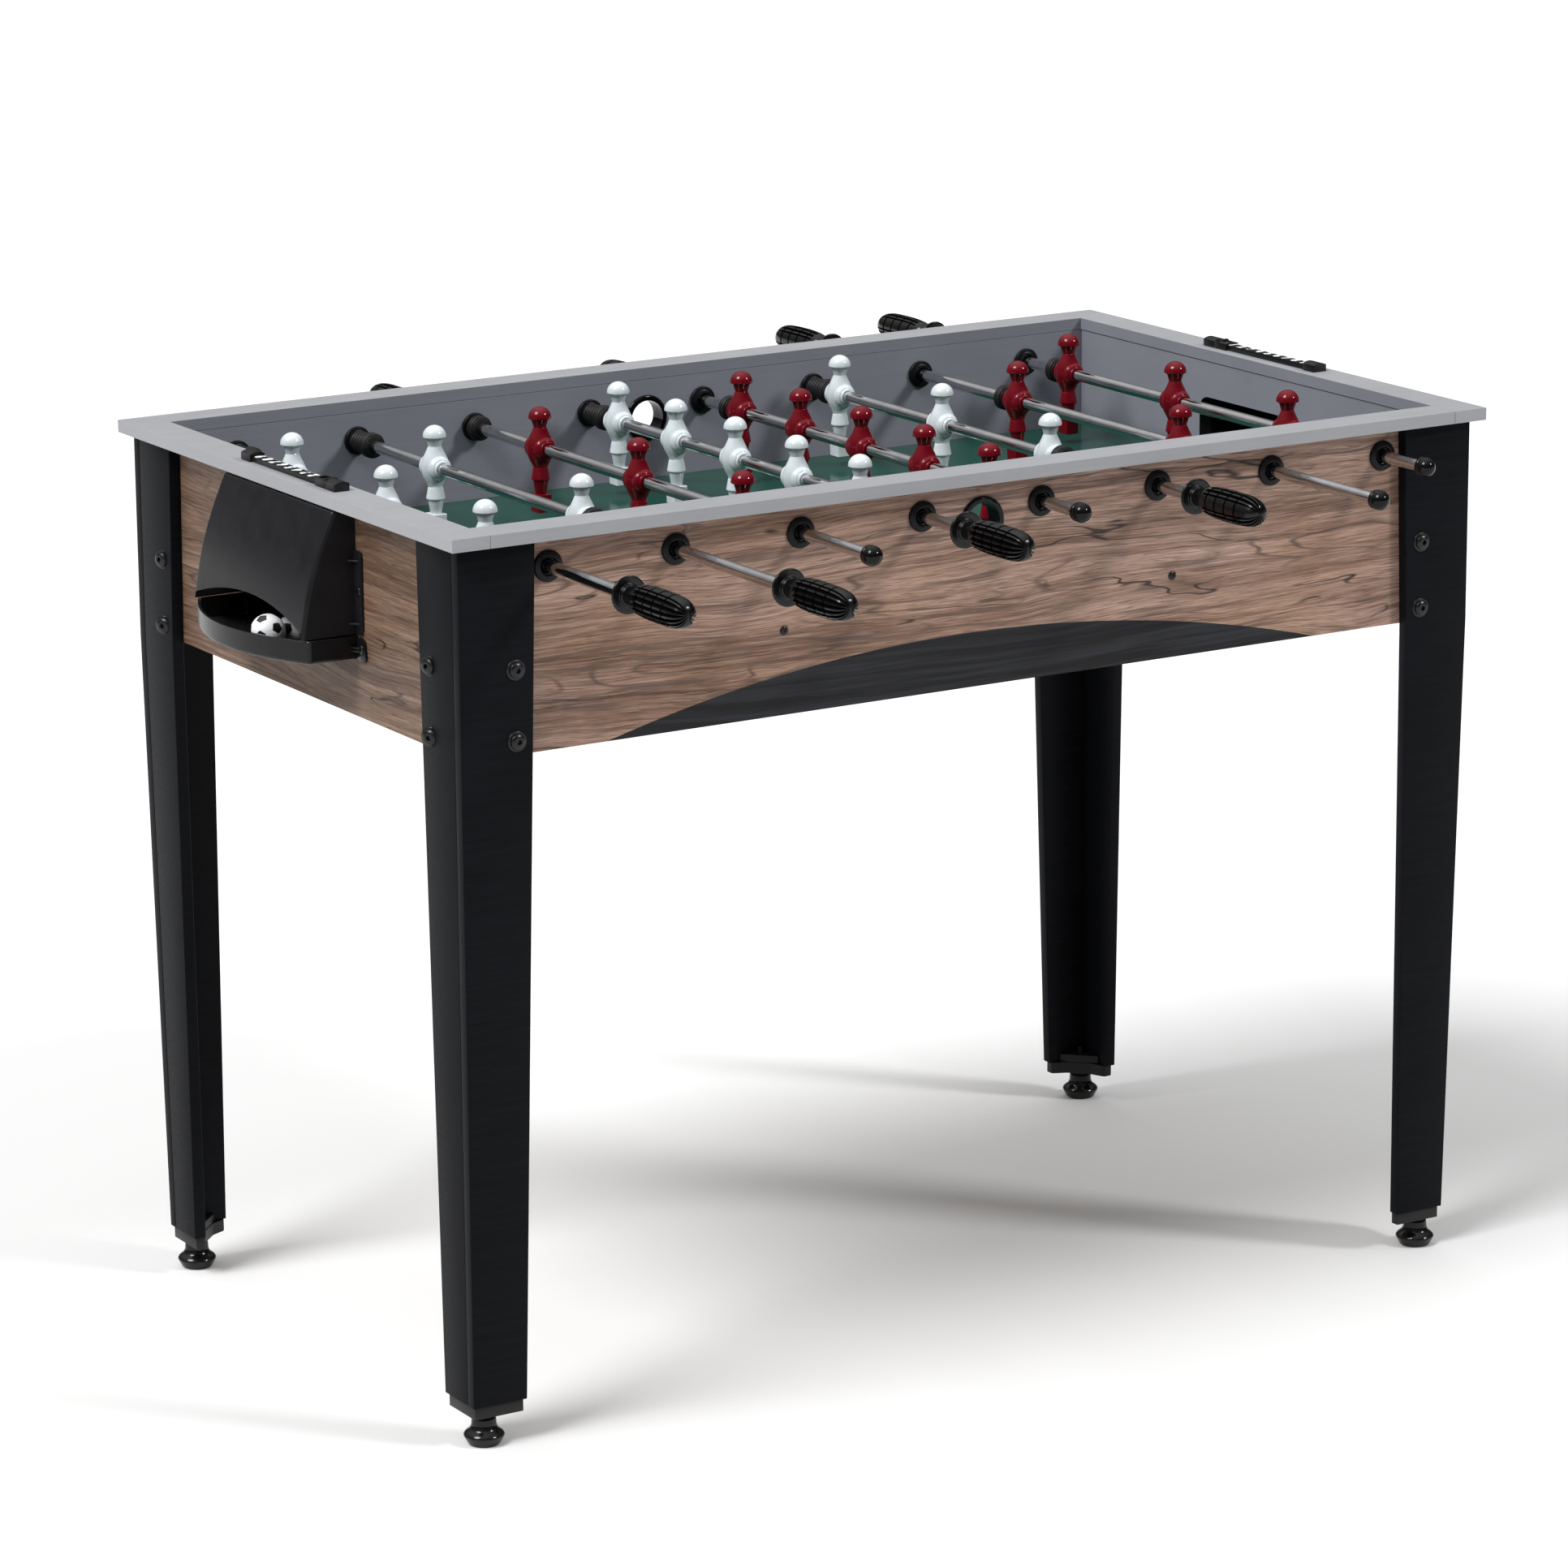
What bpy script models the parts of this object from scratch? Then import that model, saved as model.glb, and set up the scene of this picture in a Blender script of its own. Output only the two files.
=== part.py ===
"""A free-standing football game table: four legs, a cabinet with a playfield, and eight rods of figures.

Metres, +Z up, floor at z = 0. +X runs along the table, and the player with the white team
stands at -Y. The origin lies under the middle of the table's whole box, rods included,
which puts the cabinet's middle at y = CABINET_Y.
"""
import math

import bmesh
import bpy

# ---------------------------------------------------------------- driving dimensions
TABLE_LENGTH = 1.2192
TABLE_WIDTH = 0.7300
TABLE_HEIGHT = 0.9180
CABINET_Y = 0.0178
GAP = 0.0003
LAP = 0.0010

RAIL_WIDTH = 0.0406
RAIL_THICKNESS = 0.0130
BOARD = 0.0150

LEG_HALF_X = 0.5980
LEG_HALF_Y = 0.3525
LEG_BOARD = 0.0127
LEG_TOP_WIDTH = 0.0838
LEG_FOOT_WIDTH = 0.0595
LEG_CANT_X = 0.0062
LEG_CANT_Y = 0.0130
LEG_BOTTOM_Z = 0.0440
PANEL_BOTTOM_Z = 0.6950
END_BLOCK_INSET = 0.0025
FOOT_TOP_Z = 0.0300
FOOT_STEM_RADIUS = 0.0040
FOOT_STEM_TOP_Z = 0.0600
FOOT_INSET_X = 0.0207
FOOT_INSET_Y = 0.0190

FIELD_TOP_Z = 0.7970
FIELD_THICKNESS = 0.0060
GOAL_HALF_WIDTH = 0.0925
GOAL_TOP_Z = 0.8650
GOAL_CORNER = 0.0130
SUPPORT_X = 0.2310
SUPPORT_SIDE = 0.0200

ROD_COUNT = 8
ROD_PITCH = 0.1411
ROD_Z = 0.8755
ROD_RADIUS = 0.00635
BUMPER_RADIUS = 0.0135
BUMPER_LENGTH = 0.0120
SPACER_RADIUS = 0.0110
SPACER_LENGTH = 0.0235
CAP_TIP_OFFSET = 0.3720
CAP_LENGTH = 0.0175
CAP_RADIUS = 0.0103
HANDLE_LENGTH = 0.1105
HANDLE_BORE_DEPTH = 0.0900
HANDLE_RADIUS = 0.0160
HANDLE_NECK_RADIUS = 0.0092
HANDLE_FLANGE_RADIUS = 0.0172
ROD_END_GAP = 0.0010

BEARING_FLANGE_RADIUS = 0.0157
BEARING_FLANGE = 0.0043
BEARING_NUT_RADIUS = 0.0150
BEARING_NUT = 0.0050
BEARING_SLEEVE_RADIUS = 0.0112
BEARING_BORE_RADIUS = 0.0068
BEARING_HOLE_RADIUS = 0.0118

SERVE_Z = 0.8625
SERVE_FLANGE_RADIUS = 0.0255
SERVE_SLEEVE_RADIUS = 0.0222
SERVE_BORE_RADIUS = 0.0195
SERVE_FLANGE = 0.0030

FIGURE_BOSS_RADIUS = 0.0125
FIGURE_BOSS_HALF = 0.0172
FIGURE_FOOT_DEPTH = 0.0165
FIGURE_FOOT_WIDTH = 0.0190
FIGURE_FOOT_BOTTOM = -0.0680
FIGURE_FOOT_TOP = -0.0480

HOOD_HALF_WIDTH = 0.1195
HOOD_WALL = 0.0025
HOOD_SIDE_BOTTOM_Z = 0.7790
HOOD_FRONT_BOTTOM_Z = 0.7855
HOOD_ARCH_RISE = 0.0190
HOOD_TOP_REACH = 0.0240
HOOD_BOTTOM_REACH = 0.0615
HOOD_BULGE = 0.0060
FLANGE_WIDTH = 0.0150
FLANGE_TOP_Z = 0.8630

TRAY_HALF_WIDTH = 0.1225
TRAY_WALL = 0.0024
TRAY_RIM_Z = 0.7775
TRAY_FLOOR_Z = 0.7559
TRAY_SIDE_REACH = 0.0550
TRAY_NOSE_REACH = 0.0900
TRAY_FLANGE_BOTTOM_Z = 0.7535

BALL_RADIUS = 0.0178
BALL_PLACES = ((-0.6447, -0.0430), (-0.6086, -0.0370))

SCORE_HALF_LENGTH = 0.1020
SCORE_BAR_WIDTH = 0.0120
SCORE_BAR_HEIGHT = 0.0060
SCORE_BLOCK_LENGTH = 0.0200
SCORE_BLOCK_WIDTH = 0.0170
SCORE_BLOCK_HEIGHT = 0.0095
SCORE_SLIDER_LENGTH = 0.0220

# ---------------------------------------------------------------- derived dimensions
PANEL_OUT_X = LEG_HALF_X - LEG_BOARD - GAP
PANEL_OUT_Y = LEG_HALF_Y - LEG_BOARD - GAP
PANEL_IN_X = PANEL_OUT_X - BOARD
PANEL_IN_Y = PANEL_OUT_Y - BOARD
RAIL_BOTTOM_Z = TABLE_HEIGHT - RAIL_THICKNESS
PANEL_TOP_Z = RAIL_BOTTOM_Z - GAP
NUT_FACE_Y = PANEL_IN_Y - BEARING_NUT
HOOD_TOP_Z = PANEL_TOP_Z - 0.0012

# Each kind of rod: where its figures stand from the middle, and how far its handle starts from it.
ROD_KINDS = {
    "two": {"figures": (-0.1535, 0.1535), "handle_start": 0.5437},
    "three": {"figures": (-0.2060, 0.0, 0.2060), "handle_start": 0.4744},
    "five": {"figures": (-0.2430, -0.1215, 0.0, 0.1215, 0.2430), "handle_start": 0.4356},
}
# From the left end: kind of rod, team, how far the rod stands slid towards +Y, and how much
# further out than usual its handle has been pushed on.
RODS = (
    ("three", "white", -0.0112, 0.0070),
    ("two", "white", -0.0038, 0.0),
    ("three", "red", -0.0257, -0.0090),
    ("five", "white", 0.0181, 0.0),
    ("five", "red", -0.0027, -0.0050),
    ("three", "white", 0.0604, -0.0075),
    ("two", "red", -0.0258, -0.0085),
    ("three", "red", 0.0315, 0.0060),
)

WHITE = (0.83, 0.87, 0.88)
RED = (0.33, 0.012, 0.028)
BLACK = (0.012, 0.012, 0.013)
OAK = (0.30, 0.205, 0.150)
GREY_LAMINATE = (0.50, 0.51, 0.53)
FIELD_GREEN = (0.008, 0.085, 0.055)
LEG_BLACK = (0.014, 0.015, 0.017)


# ---------------------------------------------------------------- scene helpers
def clear_scene():
    for obj in list(bpy.data.objects):
        bpy.data.objects.remove(obj, do_unlink=True)


def new_collection(name):
    collection = bpy.data.collections.new(name)
    bpy.context.scene.collection.children.link(collection)
    return collection


def new_material(name, colour, roughness, metallic=0.0):
    material = bpy.data.materials.new(name)
    material.use_nodes = True
    shader = material.node_tree.nodes["Principled BSDF"]
    shader.inputs["Base Color"].default_value = (*colour, 1.0)
    shader.inputs["Roughness"].default_value = roughness
    shader.inputs["Metallic"].default_value = metallic
    return material


clear_scene()
PARTS = new_collection("football_table")
CUTTERS = new_collection("cutters")
ORIGIN = bpy.data.objects.new("cabinet_middle", None)
ORIGIN.location = (0.0, CABINET_Y, 0.0)
PARTS.objects.link(ORIGIN)


def place(obj, material=None, location=(0.0, 0.0, 0.0), rotation=(0.0, 0.0, 0.0)):
    """Stand a sub-part in the cabinet's frame, with a material of its own colour."""
    obj.location = location
    obj.rotation_euler = rotation
    obj.parent = ORIGIN
    if material is not None:
        obj.data.materials.append(new_material(obj.name, *material))
    PARTS.objects.link(obj)
    return obj


def as_cutter(obj, location=(0.0, 0.0, 0.0), rotation=(0.0, 0.0, 0.0)):
    """Keep a shape out of the model: it only cuts or joins another."""
    obj.location = location
    obj.rotation_euler = rotation
    obj.parent = ORIGIN
    obj.hide_render = True
    obj.display_type = "WIRE"
    CUTTERS.objects.link(obj)
    return obj


def boolean(obj, other, operation):
    modifier = obj.modifiers.new(other.name, "BOOLEAN")
    modifier.operation = operation
    modifier.solver = "EXACT"
    modifier.object = other
    return obj


def cut(obj, other):
    return boolean(obj, other, "DIFFERENCE")


def join(obj, other):
    return boolean(obj, other, "UNION")


def baked_mesh(obj, name):
    """The mesh of an object with its modifiers applied, in its own frame."""
    bpy.context.view_layer.update()
    depsgraph = bpy.context.evaluated_depsgraph_get()
    mesh = bpy.data.meshes.new_from_object(obj.evaluated_get(depsgraph))
    mesh.name = name
    return mesh


# ---------------------------------------------------------------- shape helpers
def block(name, low, high):
    """A box between two corners."""
    mesh = bpy.data.meshes.new(name)
    shape = bmesh.new()
    bmesh.ops.create_cube(shape, size=1.0)
    size = [b - a for a, b in zip(low, high)]
    middle = [(a + b) / 2.0 for a, b in zip(low, high)]
    bmesh.ops.scale(shape, vec=size, verts=shape.verts)
    bmesh.ops.translate(shape, vec=middle, verts=shape.verts)
    shape.to_mesh(mesh)
    shape.free()
    return bpy.data.objects.new(name, mesh)


def cylinder(name, radius, length, sides):
    """A cylinder about Z, centred on its origin."""
    mesh = bpy.data.meshes.new(name)
    shape = bmesh.new()
    bmesh.ops.create_cone(
        shape, cap_ends=True, segments=sides, radius1=radius, radius2=radius, depth=length
    )
    shape.to_mesh(mesh)
    shape.free()
    return bpy.data.objects.new(name, mesh)


def turned(name, profile, sides, closed=False):
    """A round shape about Z: its profile of (radius, height) runs down the outer side."""
    mesh = bpy.data.meshes.new(name)
    points = [(radius, 0.0, height) for radius, height in profile]
    edges = [(i, i + 1) for i in range(len(points) - 1)]
    if closed:
        edges.append((len(points) - 1, 0))
    mesh.from_pydata(points, edges, [])
    obj = bpy.data.objects.new(name, mesh)
    screw = obj.modifiers.new("turn", "SCREW")
    screw.angle = math.tau
    screw.steps = sides
    screw.render_steps = sides
    screw.use_merge_vertices = True
    screw.merge_threshold = 0.00001
    screw.use_smooth_shade = True
    return obj


def outline(name, points, low_z, high_z):
    """A flat outline in plan, raised between two heights."""
    curve = bpy.data.curves.new(name, "CURVE")
    curve.dimensions = "2D"
    curve.fill_mode = "BOTH"
    curve.extrude = (high_z - low_z) / 2.0
    spline = curve.splines.new("POLY")
    spline.points.add(len(points) - 1)
    for point, (x, y) in zip(spline.points, points):
        point.co = (x, y, 0.0, 1.0)
    spline.use_cyclic_u = True
    flat = bpy.data.objects.new(name + "_curve", curve)
    flat.location = (0.0, 0.0, (low_z + high_z) / 2.0)
    bpy.context.scene.collection.objects.link(flat)
    mesh = baked_mesh(flat, name)
    shape = bmesh.new()
    shape.from_mesh(mesh)
    bmesh.ops.transform(shape, matrix=flat.matrix_world, verts=shape.verts)
    bmesh.ops.remove_doubles(shape, verts=shape.verts, dist=0.00001)
    bmesh.ops.recalc_face_normals(shape, faces=shape.faces)
    shape.to_mesh(mesh)
    shape.free()
    bpy.data.objects.remove(flat, do_unlink=True)
    return bpy.data.objects.new(name, mesh)


def arc(centre, radius, start, end, steps):
    """Points along a circular arc, angles in degrees."""
    points = []
    for step in range(steps + 1):
        angle = math.radians(start + (end - start) * step / steps)
        points.append((centre[0] + radius * math.cos(angle), centre[1] + radius * math.sin(angle)))
    return points


def rod_x(index):
    return (index - (ROD_COUNT - 1) / 2.0) * ROD_PITCH


# ---------------------------------------------------------------- cabinet
def stop_profile():
    """The spacer and bumper on the inside of a cap-end bearing, from the bumper's face down."""
    nut_top = BOARD + BEARING_NUT
    stop_top = nut_top + SPACER_LENGTH + BUMPER_LENGTH
    return [
        (BUMPER_RADIUS, stop_top),
        (BUMPER_RADIUS, stop_top - BUMPER_LENGTH),
        (SPACER_RADIUS, stop_top - BUMPER_LENGTH),
        (SPACER_RADIUS, nut_top),
    ]


def housing_profile(team):
    """A bearing housing about Z, from its inner face (top) to its outer flange (bottom)."""
    nut_top = BOARD + BEARING_NUT
    stop = stop_profile() if team == "white" else []
    top = stop[0][1] if stop else nut_top
    return [
        (BEARING_BORE_RADIUS, top),
        *stop,
        (BEARING_NUT_RADIUS, nut_top),
        (BEARING_NUT_RADIUS, -BEARING_FLANGE),
        (BEARING_BORE_RADIUS, -BEARING_FLANGE),
    ]


def make_side_panel(name, side):
    """A long board with eight rod holes and a serve hole; side is -1 or +1 in Y.

    The +Y board carries its rod bearings on it as fixed housings. A white rod's cap end is
    there, so its housing has a spacer and a bumper as well.
    """
    low_y, high_y = sorted((side * PANEL_IN_Y, side * PANEL_OUT_Y))
    panel = block(name, (-PANEL_OUT_X, low_y, PANEL_BOTTOM_Z), (PANEL_OUT_X, high_y, PANEL_TOP_Z))
    middle_y = (low_y + high_y) / 2.0
    for index in range(ROD_COUNT):
        hole = cylinder(f"{name}_hole_{index + 1}", BEARING_HOLE_RADIUS, 3.0 * BOARD, 12)
        as_cutter(hole, (rod_x(index), middle_y, ROD_Z), (math.pi / 2.0, 0.0, 0.0))
        cut(panel, hole)
        if side > 0:
            profile = housing_profile(RODS[index][1])
            housing = turned(f"{name}_housing_{index + 1}", profile, 12, closed=True)
            as_cutter(housing, (rod_x(index), PANEL_OUT_Y, ROD_Z), (math.pi / 2.0, 0.0, 0.0))
            join(panel, housing)
    serve = cylinder(f"{name}_serve", SERVE_SLEEVE_RADIUS + 2.0 * GAP, 3.0 * BOARD, 16)
    as_cutter(serve, (0.0, middle_y, SERVE_Z), (math.pi / 2.0, 0.0, 0.0))
    cut(panel, serve)
    return place(panel, (OAK, 0.55))


def make_end_panel(name, side):
    """A short board with a goal mouth whose upper corners are round; side is -1 or +1 in X."""
    low_x, high_x = sorted((side * PANEL_IN_X, side * PANEL_OUT_X))
    half_y = PANEL_IN_Y - GAP
    panel = block(name, (low_x, -half_y, PANEL_BOTTOM_Z), (high_x, half_y, PANEL_TOP_Z))
    inner = GOAL_HALF_WIDTH - GOAL_CORNER
    top = GOAL_TOP_Z - GOAL_CORNER
    points = [(-GOAL_HALF_WIDTH, FIELD_TOP_Z), (GOAL_HALF_WIDTH, FIELD_TOP_Z)]
    points += arc((inner, top), GOAL_CORNER, 0.0, 90.0, 4)
    points += arc((-inner, top), GOAL_CORNER, 90.0, 180.0, 4)
    mouth = outline(f"{name}_goal", points, -1.5 * BOARD, 1.5 * BOARD)
    middle_x = (low_x + high_x) / 2.0
    as_cutter(mouth, (middle_x, 0.0, 0.0), (math.pi / 2.0, 0.0, math.pi / 2.0))
    cut(panel, mouth)
    return place(panel, (OAK, 0.55))


def make_playfield():
    low_z = FIELD_TOP_Z - FIELD_THICKNESS
    half_x = PANEL_IN_X - GAP
    half_y = PANEL_IN_Y - GAP
    field = block("playfield", (-half_x, -half_y, low_z), (half_x, half_y, FIELD_TOP_Z - GAP))
    return place(field, (FIELD_GREEN, 0.25))


def make_field_support(name, x):
    """A square beam across the cabinet, screwed through both long boards, under the playfield."""
    top_z = FIELD_TOP_Z - FIELD_THICKNESS - GAP
    half = SUPPORT_SIDE / 2.0
    half_y = PANEL_IN_Y - GAP
    beam = block(name, (x - half, -half_y, top_z - SUPPORT_SIDE), (x + half, half_y, top_z))
    return place(beam, (OAK, 0.7))


def make_top_rails():
    """The end rails run the full width, and the long rails butt between them."""
    half_length = TABLE_LENGTH / 2.0
    half_width = TABLE_WIDTH / 2.0
    inner_x = half_length - RAIL_WIDTH
    inner_y = half_width - RAIL_WIDTH
    for name, side in (("top_rail_left", -1), ("top_rail_right", 1)):
        low_x, high_x = sorted((side * inner_x, side * half_length))
        rail = block(name, (low_x, -half_width, RAIL_BOTTOM_Z), (high_x, half_width, TABLE_HEIGHT))
        place(rail, (GREY_LAMINATE, 0.45))
    for name, side in (("top_rail_front", -1), ("top_rail_back", 1)):
        low_y, high_y = sorted((side * inner_y, side * half_width))
        reach = inner_x - GAP
        rail = block(name, (-reach, low_y, RAIL_BOTTOM_Z), (reach, high_y, TABLE_HEIGHT))
        place(rail, (GREY_LAMINATE, 0.45))


# ---------------------------------------------------------------- legs
def leg_board(name, along_x):
    """One tapered board of a leg, in the frame of the leg whose outer corner is at -X -Y.

    The corner stands upright beside the cabinet and cants inwards below it, and the
    board narrows steadily from top to bottom.
    """
    width = LEG_TOP_WIDTH
    size = (width, LEG_BOARD, 1.0) if along_x else (LEG_BOARD, width, 1.0)
    obj = block(name, (0.0, 0.0, LEG_BOTTOM_Z), (size[0], size[1], PANEL_TOP_Z))
    shape = bmesh.new()
    shape.from_mesh(obj.data)
    geometry = shape.verts[:] + shape.edges[:] + shape.faces[:]
    bend = (0.0, 0.0, PANEL_BOTTOM_Z - 0.002)
    bmesh.ops.bisect_plane(shape, geom=geometry, plane_co=bend, plane_no=(0.0, 0.0, 1.0))
    for vert in shape.verts:
        drop = (PANEL_TOP_Z - vert.co.z) / (PANEL_TOP_Z - LEG_BOTTOM_Z)
        cant = max(0.0, (bend[2] - vert.co.z) / (bend[2] - LEG_BOTTOM_Z))
        narrowing = drop * (LEG_TOP_WIDTH - LEG_FOOT_WIDTH)
        if along_x and vert.co.x > width / 2.0:
            vert.co.x -= narrowing
        if not along_x and vert.co.y > width / 2.0:
            vert.co.y -= narrowing
        vert.co.x += cant * LEG_CANT_X
        vert.co.y += cant * LEG_CANT_Y
    shape.to_mesh(obj.data)
    shape.free()
    return obj


def corner_turn(side_x, side_y):
    """Mirror signs for the corner at (side_x, side_y), taking the -X -Y corner as the pattern."""
    return -side_x, -side_y


def mirrored_mesh(mesh, name, flip_x, flip_y):
    """A copy of a mesh mirrored in X and/or Y, with its faces still pointing out."""
    copy = mesh.copy()
    copy.name = name
    shape = bmesh.new()
    shape.from_mesh(copy)
    bmesh.ops.scale(shape, vec=(flip_x, flip_y, 1.0), verts=shape.verts)
    if flip_x * flip_y < 0:
        bmesh.ops.reverse_faces(shape, faces=shape.faces)
    shape.to_mesh(copy)
    shape.free()
    return copy


def leg_mesh():
    """An L of two boards, joined along the outer corner."""
    leg = leg_board("leg_pattern", True)
    other = leg_board("leg_pattern_side", False)
    as_cutter(leg)
    as_cutter(other)
    join(leg, other)
    return baked_mesh(leg, "leg")


def end_block_mesh():
    """The moulded plate under a leg: the leg's L with its inner corner filled on the diagonal."""
    near = END_BLOCK_INSET
    far = LEG_FOOT_WIDTH - END_BLOCK_INSET
    points = [(near, near), (far, near), (far, LEG_BOARD), (LEG_BOARD, far), (near, far)]
    plate = outline("end_block_pattern", points, 0.0, LEG_BOTTOM_Z - GAP - FOOT_TOP_Z)
    as_cutter(plate)
    bore = cylinder("end_block_bore", FOOT_STEM_RADIUS + 2.0 * GAP, 0.1, 12)
    as_cutter(bore, (FOOT_INSET_X, FOOT_INSET_Y, 0.0))
    cut(plate, bore)
    return baked_mesh(plate, "leg_end_block")


def foot_mesh():
    """A bell-shaped pad on a short neck, with a threaded stem that screws into the end block."""
    profile = [
        (0.0, FOOT_STEM_TOP_Z),
        (FOOT_STEM_RADIUS, FOOT_STEM_TOP_Z),
        (FOOT_STEM_RADIUS, FOOT_TOP_Z - 0.0008),
        (0.0088, FOOT_TOP_Z - 0.0008),
        (0.0088, 0.0205),
        (0.0120, 0.0195),
        (0.0135, 0.0135),
        (0.0205, 0.0080),
        (0.0150, 0.0),
        (0.0, 0.0),
    ]
    pattern = turned("foot_pattern", profile, 12)
    as_cutter(pattern)
    return baked_mesh(pattern, "levelling_foot")


def make_legs():
    leg = leg_mesh()
    end_block = end_block_mesh()
    foot = foot_mesh()
    corners = (
        ("front_left", -1, -1),
        ("front_right", 1, -1),
        ("back_left", -1, 1),
        ("back_right", 1, 1),
    )
    for corner, side_x, side_y in corners:
        flip_x, flip_y = corner_turn(side_x, side_y)
        top = (side_x * LEG_HALF_X, side_y * LEG_HALF_Y, 0.0)
        bottom_x = side_x * (LEG_HALF_X - LEG_CANT_X)
        bottom_y = side_y * (LEG_HALF_Y - LEG_CANT_Y)
        name = f"leg_{corner}"
        leg_copy = mirrored_mesh(leg, name, flip_x, flip_y)
        place(bpy.data.objects.new(name, leg_copy), (LEG_BLACK, 0.5), top)
        name = f"leg_end_block_{corner}"
        block_copy = mirrored_mesh(end_block, name, flip_x, flip_y)
        place(bpy.data.objects.new(name, block_copy), (BLACK, 0.5), (bottom_x, bottom_y, FOOT_TOP_Z))
        name = f"levelling_foot_{corner}"
        foot_x = bottom_x - side_x * FOOT_INSET_X
        foot_y = bottom_y - side_y * FOOT_INSET_Y
        foot_copy = foot.copy()
        place(bpy.data.objects.new(name, foot_copy), (BLACK, 0.3), (foot_x, foot_y, 0.0))


# ---------------------------------------------------------------- rods
def figure_mesh():
    """One playing figure: a turned body, a boss along the rod, and a foot block."""
    profile = [
        (0.0, 0.0440),
        (0.0095, 0.0405),
        (0.0122, 0.0330),
        (0.0084, 0.0305),
        (0.0067, 0.0223),
        (0.0142, 0.0050),
        (0.0142, -0.0060),
        (0.0078, -0.0205),
        (0.0098, -0.0330),
        (0.0056, -0.0500),
        (0.0, -0.0500),
    ]
    figure = turned("figure_pattern", profile, 8)
    as_cutter(figure)
    boss = cylinder("figure_boss", FIGURE_BOSS_RADIUS, 2.0 * FIGURE_BOSS_HALF, 8)
    as_cutter(boss, rotation=(math.pi / 2.0, 0.0, 0.0))
    half_depth = FIGURE_FOOT_DEPTH / 2.0
    half_width = FIGURE_FOOT_WIDTH / 2.0
    foot = block(
        "figure_foot",
        (-half_depth, -half_width, FIGURE_FOOT_BOTTOM),
        (half_depth, half_width, FIGURE_FOOT_TOP),
    )
    as_cutter(foot)
    join(figure, boss)
    join(figure, foot)
    return baked_mesh(figure, "figure")


def pull_out(kind):
    """How far a rod slides towards its handle before its bumper meets the bearing's nut."""
    outermost = max(ROD_KINDS[kind]["figures"])
    return NUT_FACE_Y - GAP - outermost - FIGURE_BOSS_HALF - BUMPER_LENGTH


def rod_profile(kind, handle_start):
    """The rod from its end in the handle (top) down to the tip of its end cap, with one bumper.

    The bumper at the cap end stands on the board, in front of a spacer.
    """
    top = handle_start + HANDLE_BORE_DEPTH - ROD_END_GAP
    bumper_out = max(ROD_KINDS[kind]["figures"]) + FIGURE_BOSS_HALF + BUMPER_LENGTH
    bumper_in = bumper_out - BUMPER_LENGTH - LAP
    tip = -(CAP_TIP_OFFSET + pull_out(kind))
    ball_top = tip + 2.0 * CAP_RADIUS
    return [
        (0.0, top),
        (ROD_RADIUS, top),
        (ROD_RADIUS, bumper_out),
        (BUMPER_RADIUS, bumper_out),
        (BUMPER_RADIUS, bumper_in),
        (ROD_RADIUS, bumper_in),
        (ROD_RADIUS, tip + CAP_LENGTH),
        (CAP_RADIUS, tip + CAP_LENGTH),
        (CAP_RADIUS, ball_top - CAP_RADIUS),
        (0.7 * CAP_RADIUS, tip + 0.3 * CAP_RADIUS),
        (0.0, tip),
    ]


def handle_profile():
    """A handle about Z, from the flange that faces the cabinet (bottom) to its domed end (top)."""
    bore = ROD_RADIUS + 1.5 * GAP
    length = HANDLE_LENGTH
    return [
        (0.0, length),
        (0.0090, length - 0.0030),
        (0.0120, length - 0.0110),
        (HANDLE_RADIUS, length - 0.0170),
        (HANDLE_RADIUS, 0.0240),
        (0.0125, 0.0195),
        (HANDLE_NECK_RADIUS, 0.0150),
        (HANDLE_NECK_RADIUS, 0.0080),
        (0.0115, 0.0045),
        (HANDLE_FLANGE_RADIUS, 0.0030),
        (HANDLE_FLANGE_RADIUS, 0.0),
        (bore, 0.0),
        (bore, HANDLE_BORE_DEPTH),
        (0.0, HANDLE_BORE_DEPTH),
    ]


def bearing_profile(team):
    """A rod bearing about Z: flange on the outside (bottom), sleeve, and nut on the inside (top).

    A red rod's cap end is at the front, so its bearing has a spacer and a bumper as well.
    """
    nut_top = BOARD + BEARING_NUT
    stop = stop_profile() if team == "red" else []
    top = stop[0][1] if stop else nut_top
    return [
        (BEARING_BORE_RADIUS, top),
        *stop,
        (BEARING_NUT_RADIUS, nut_top),
        (BEARING_NUT_RADIUS, BOARD + GAP),
        (BEARING_SLEEVE_RADIUS, BOARD + GAP),
        (BEARING_SLEEVE_RADIUS, -GAP),
        (BEARING_FLANGE_RADIUS, -GAP),
        (BEARING_FLANGE_RADIUS, -0.0030),
        (0.0120, -BEARING_FLANGE),
        (BEARING_BORE_RADIUS, -BEARING_FLANGE),
    ]


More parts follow.
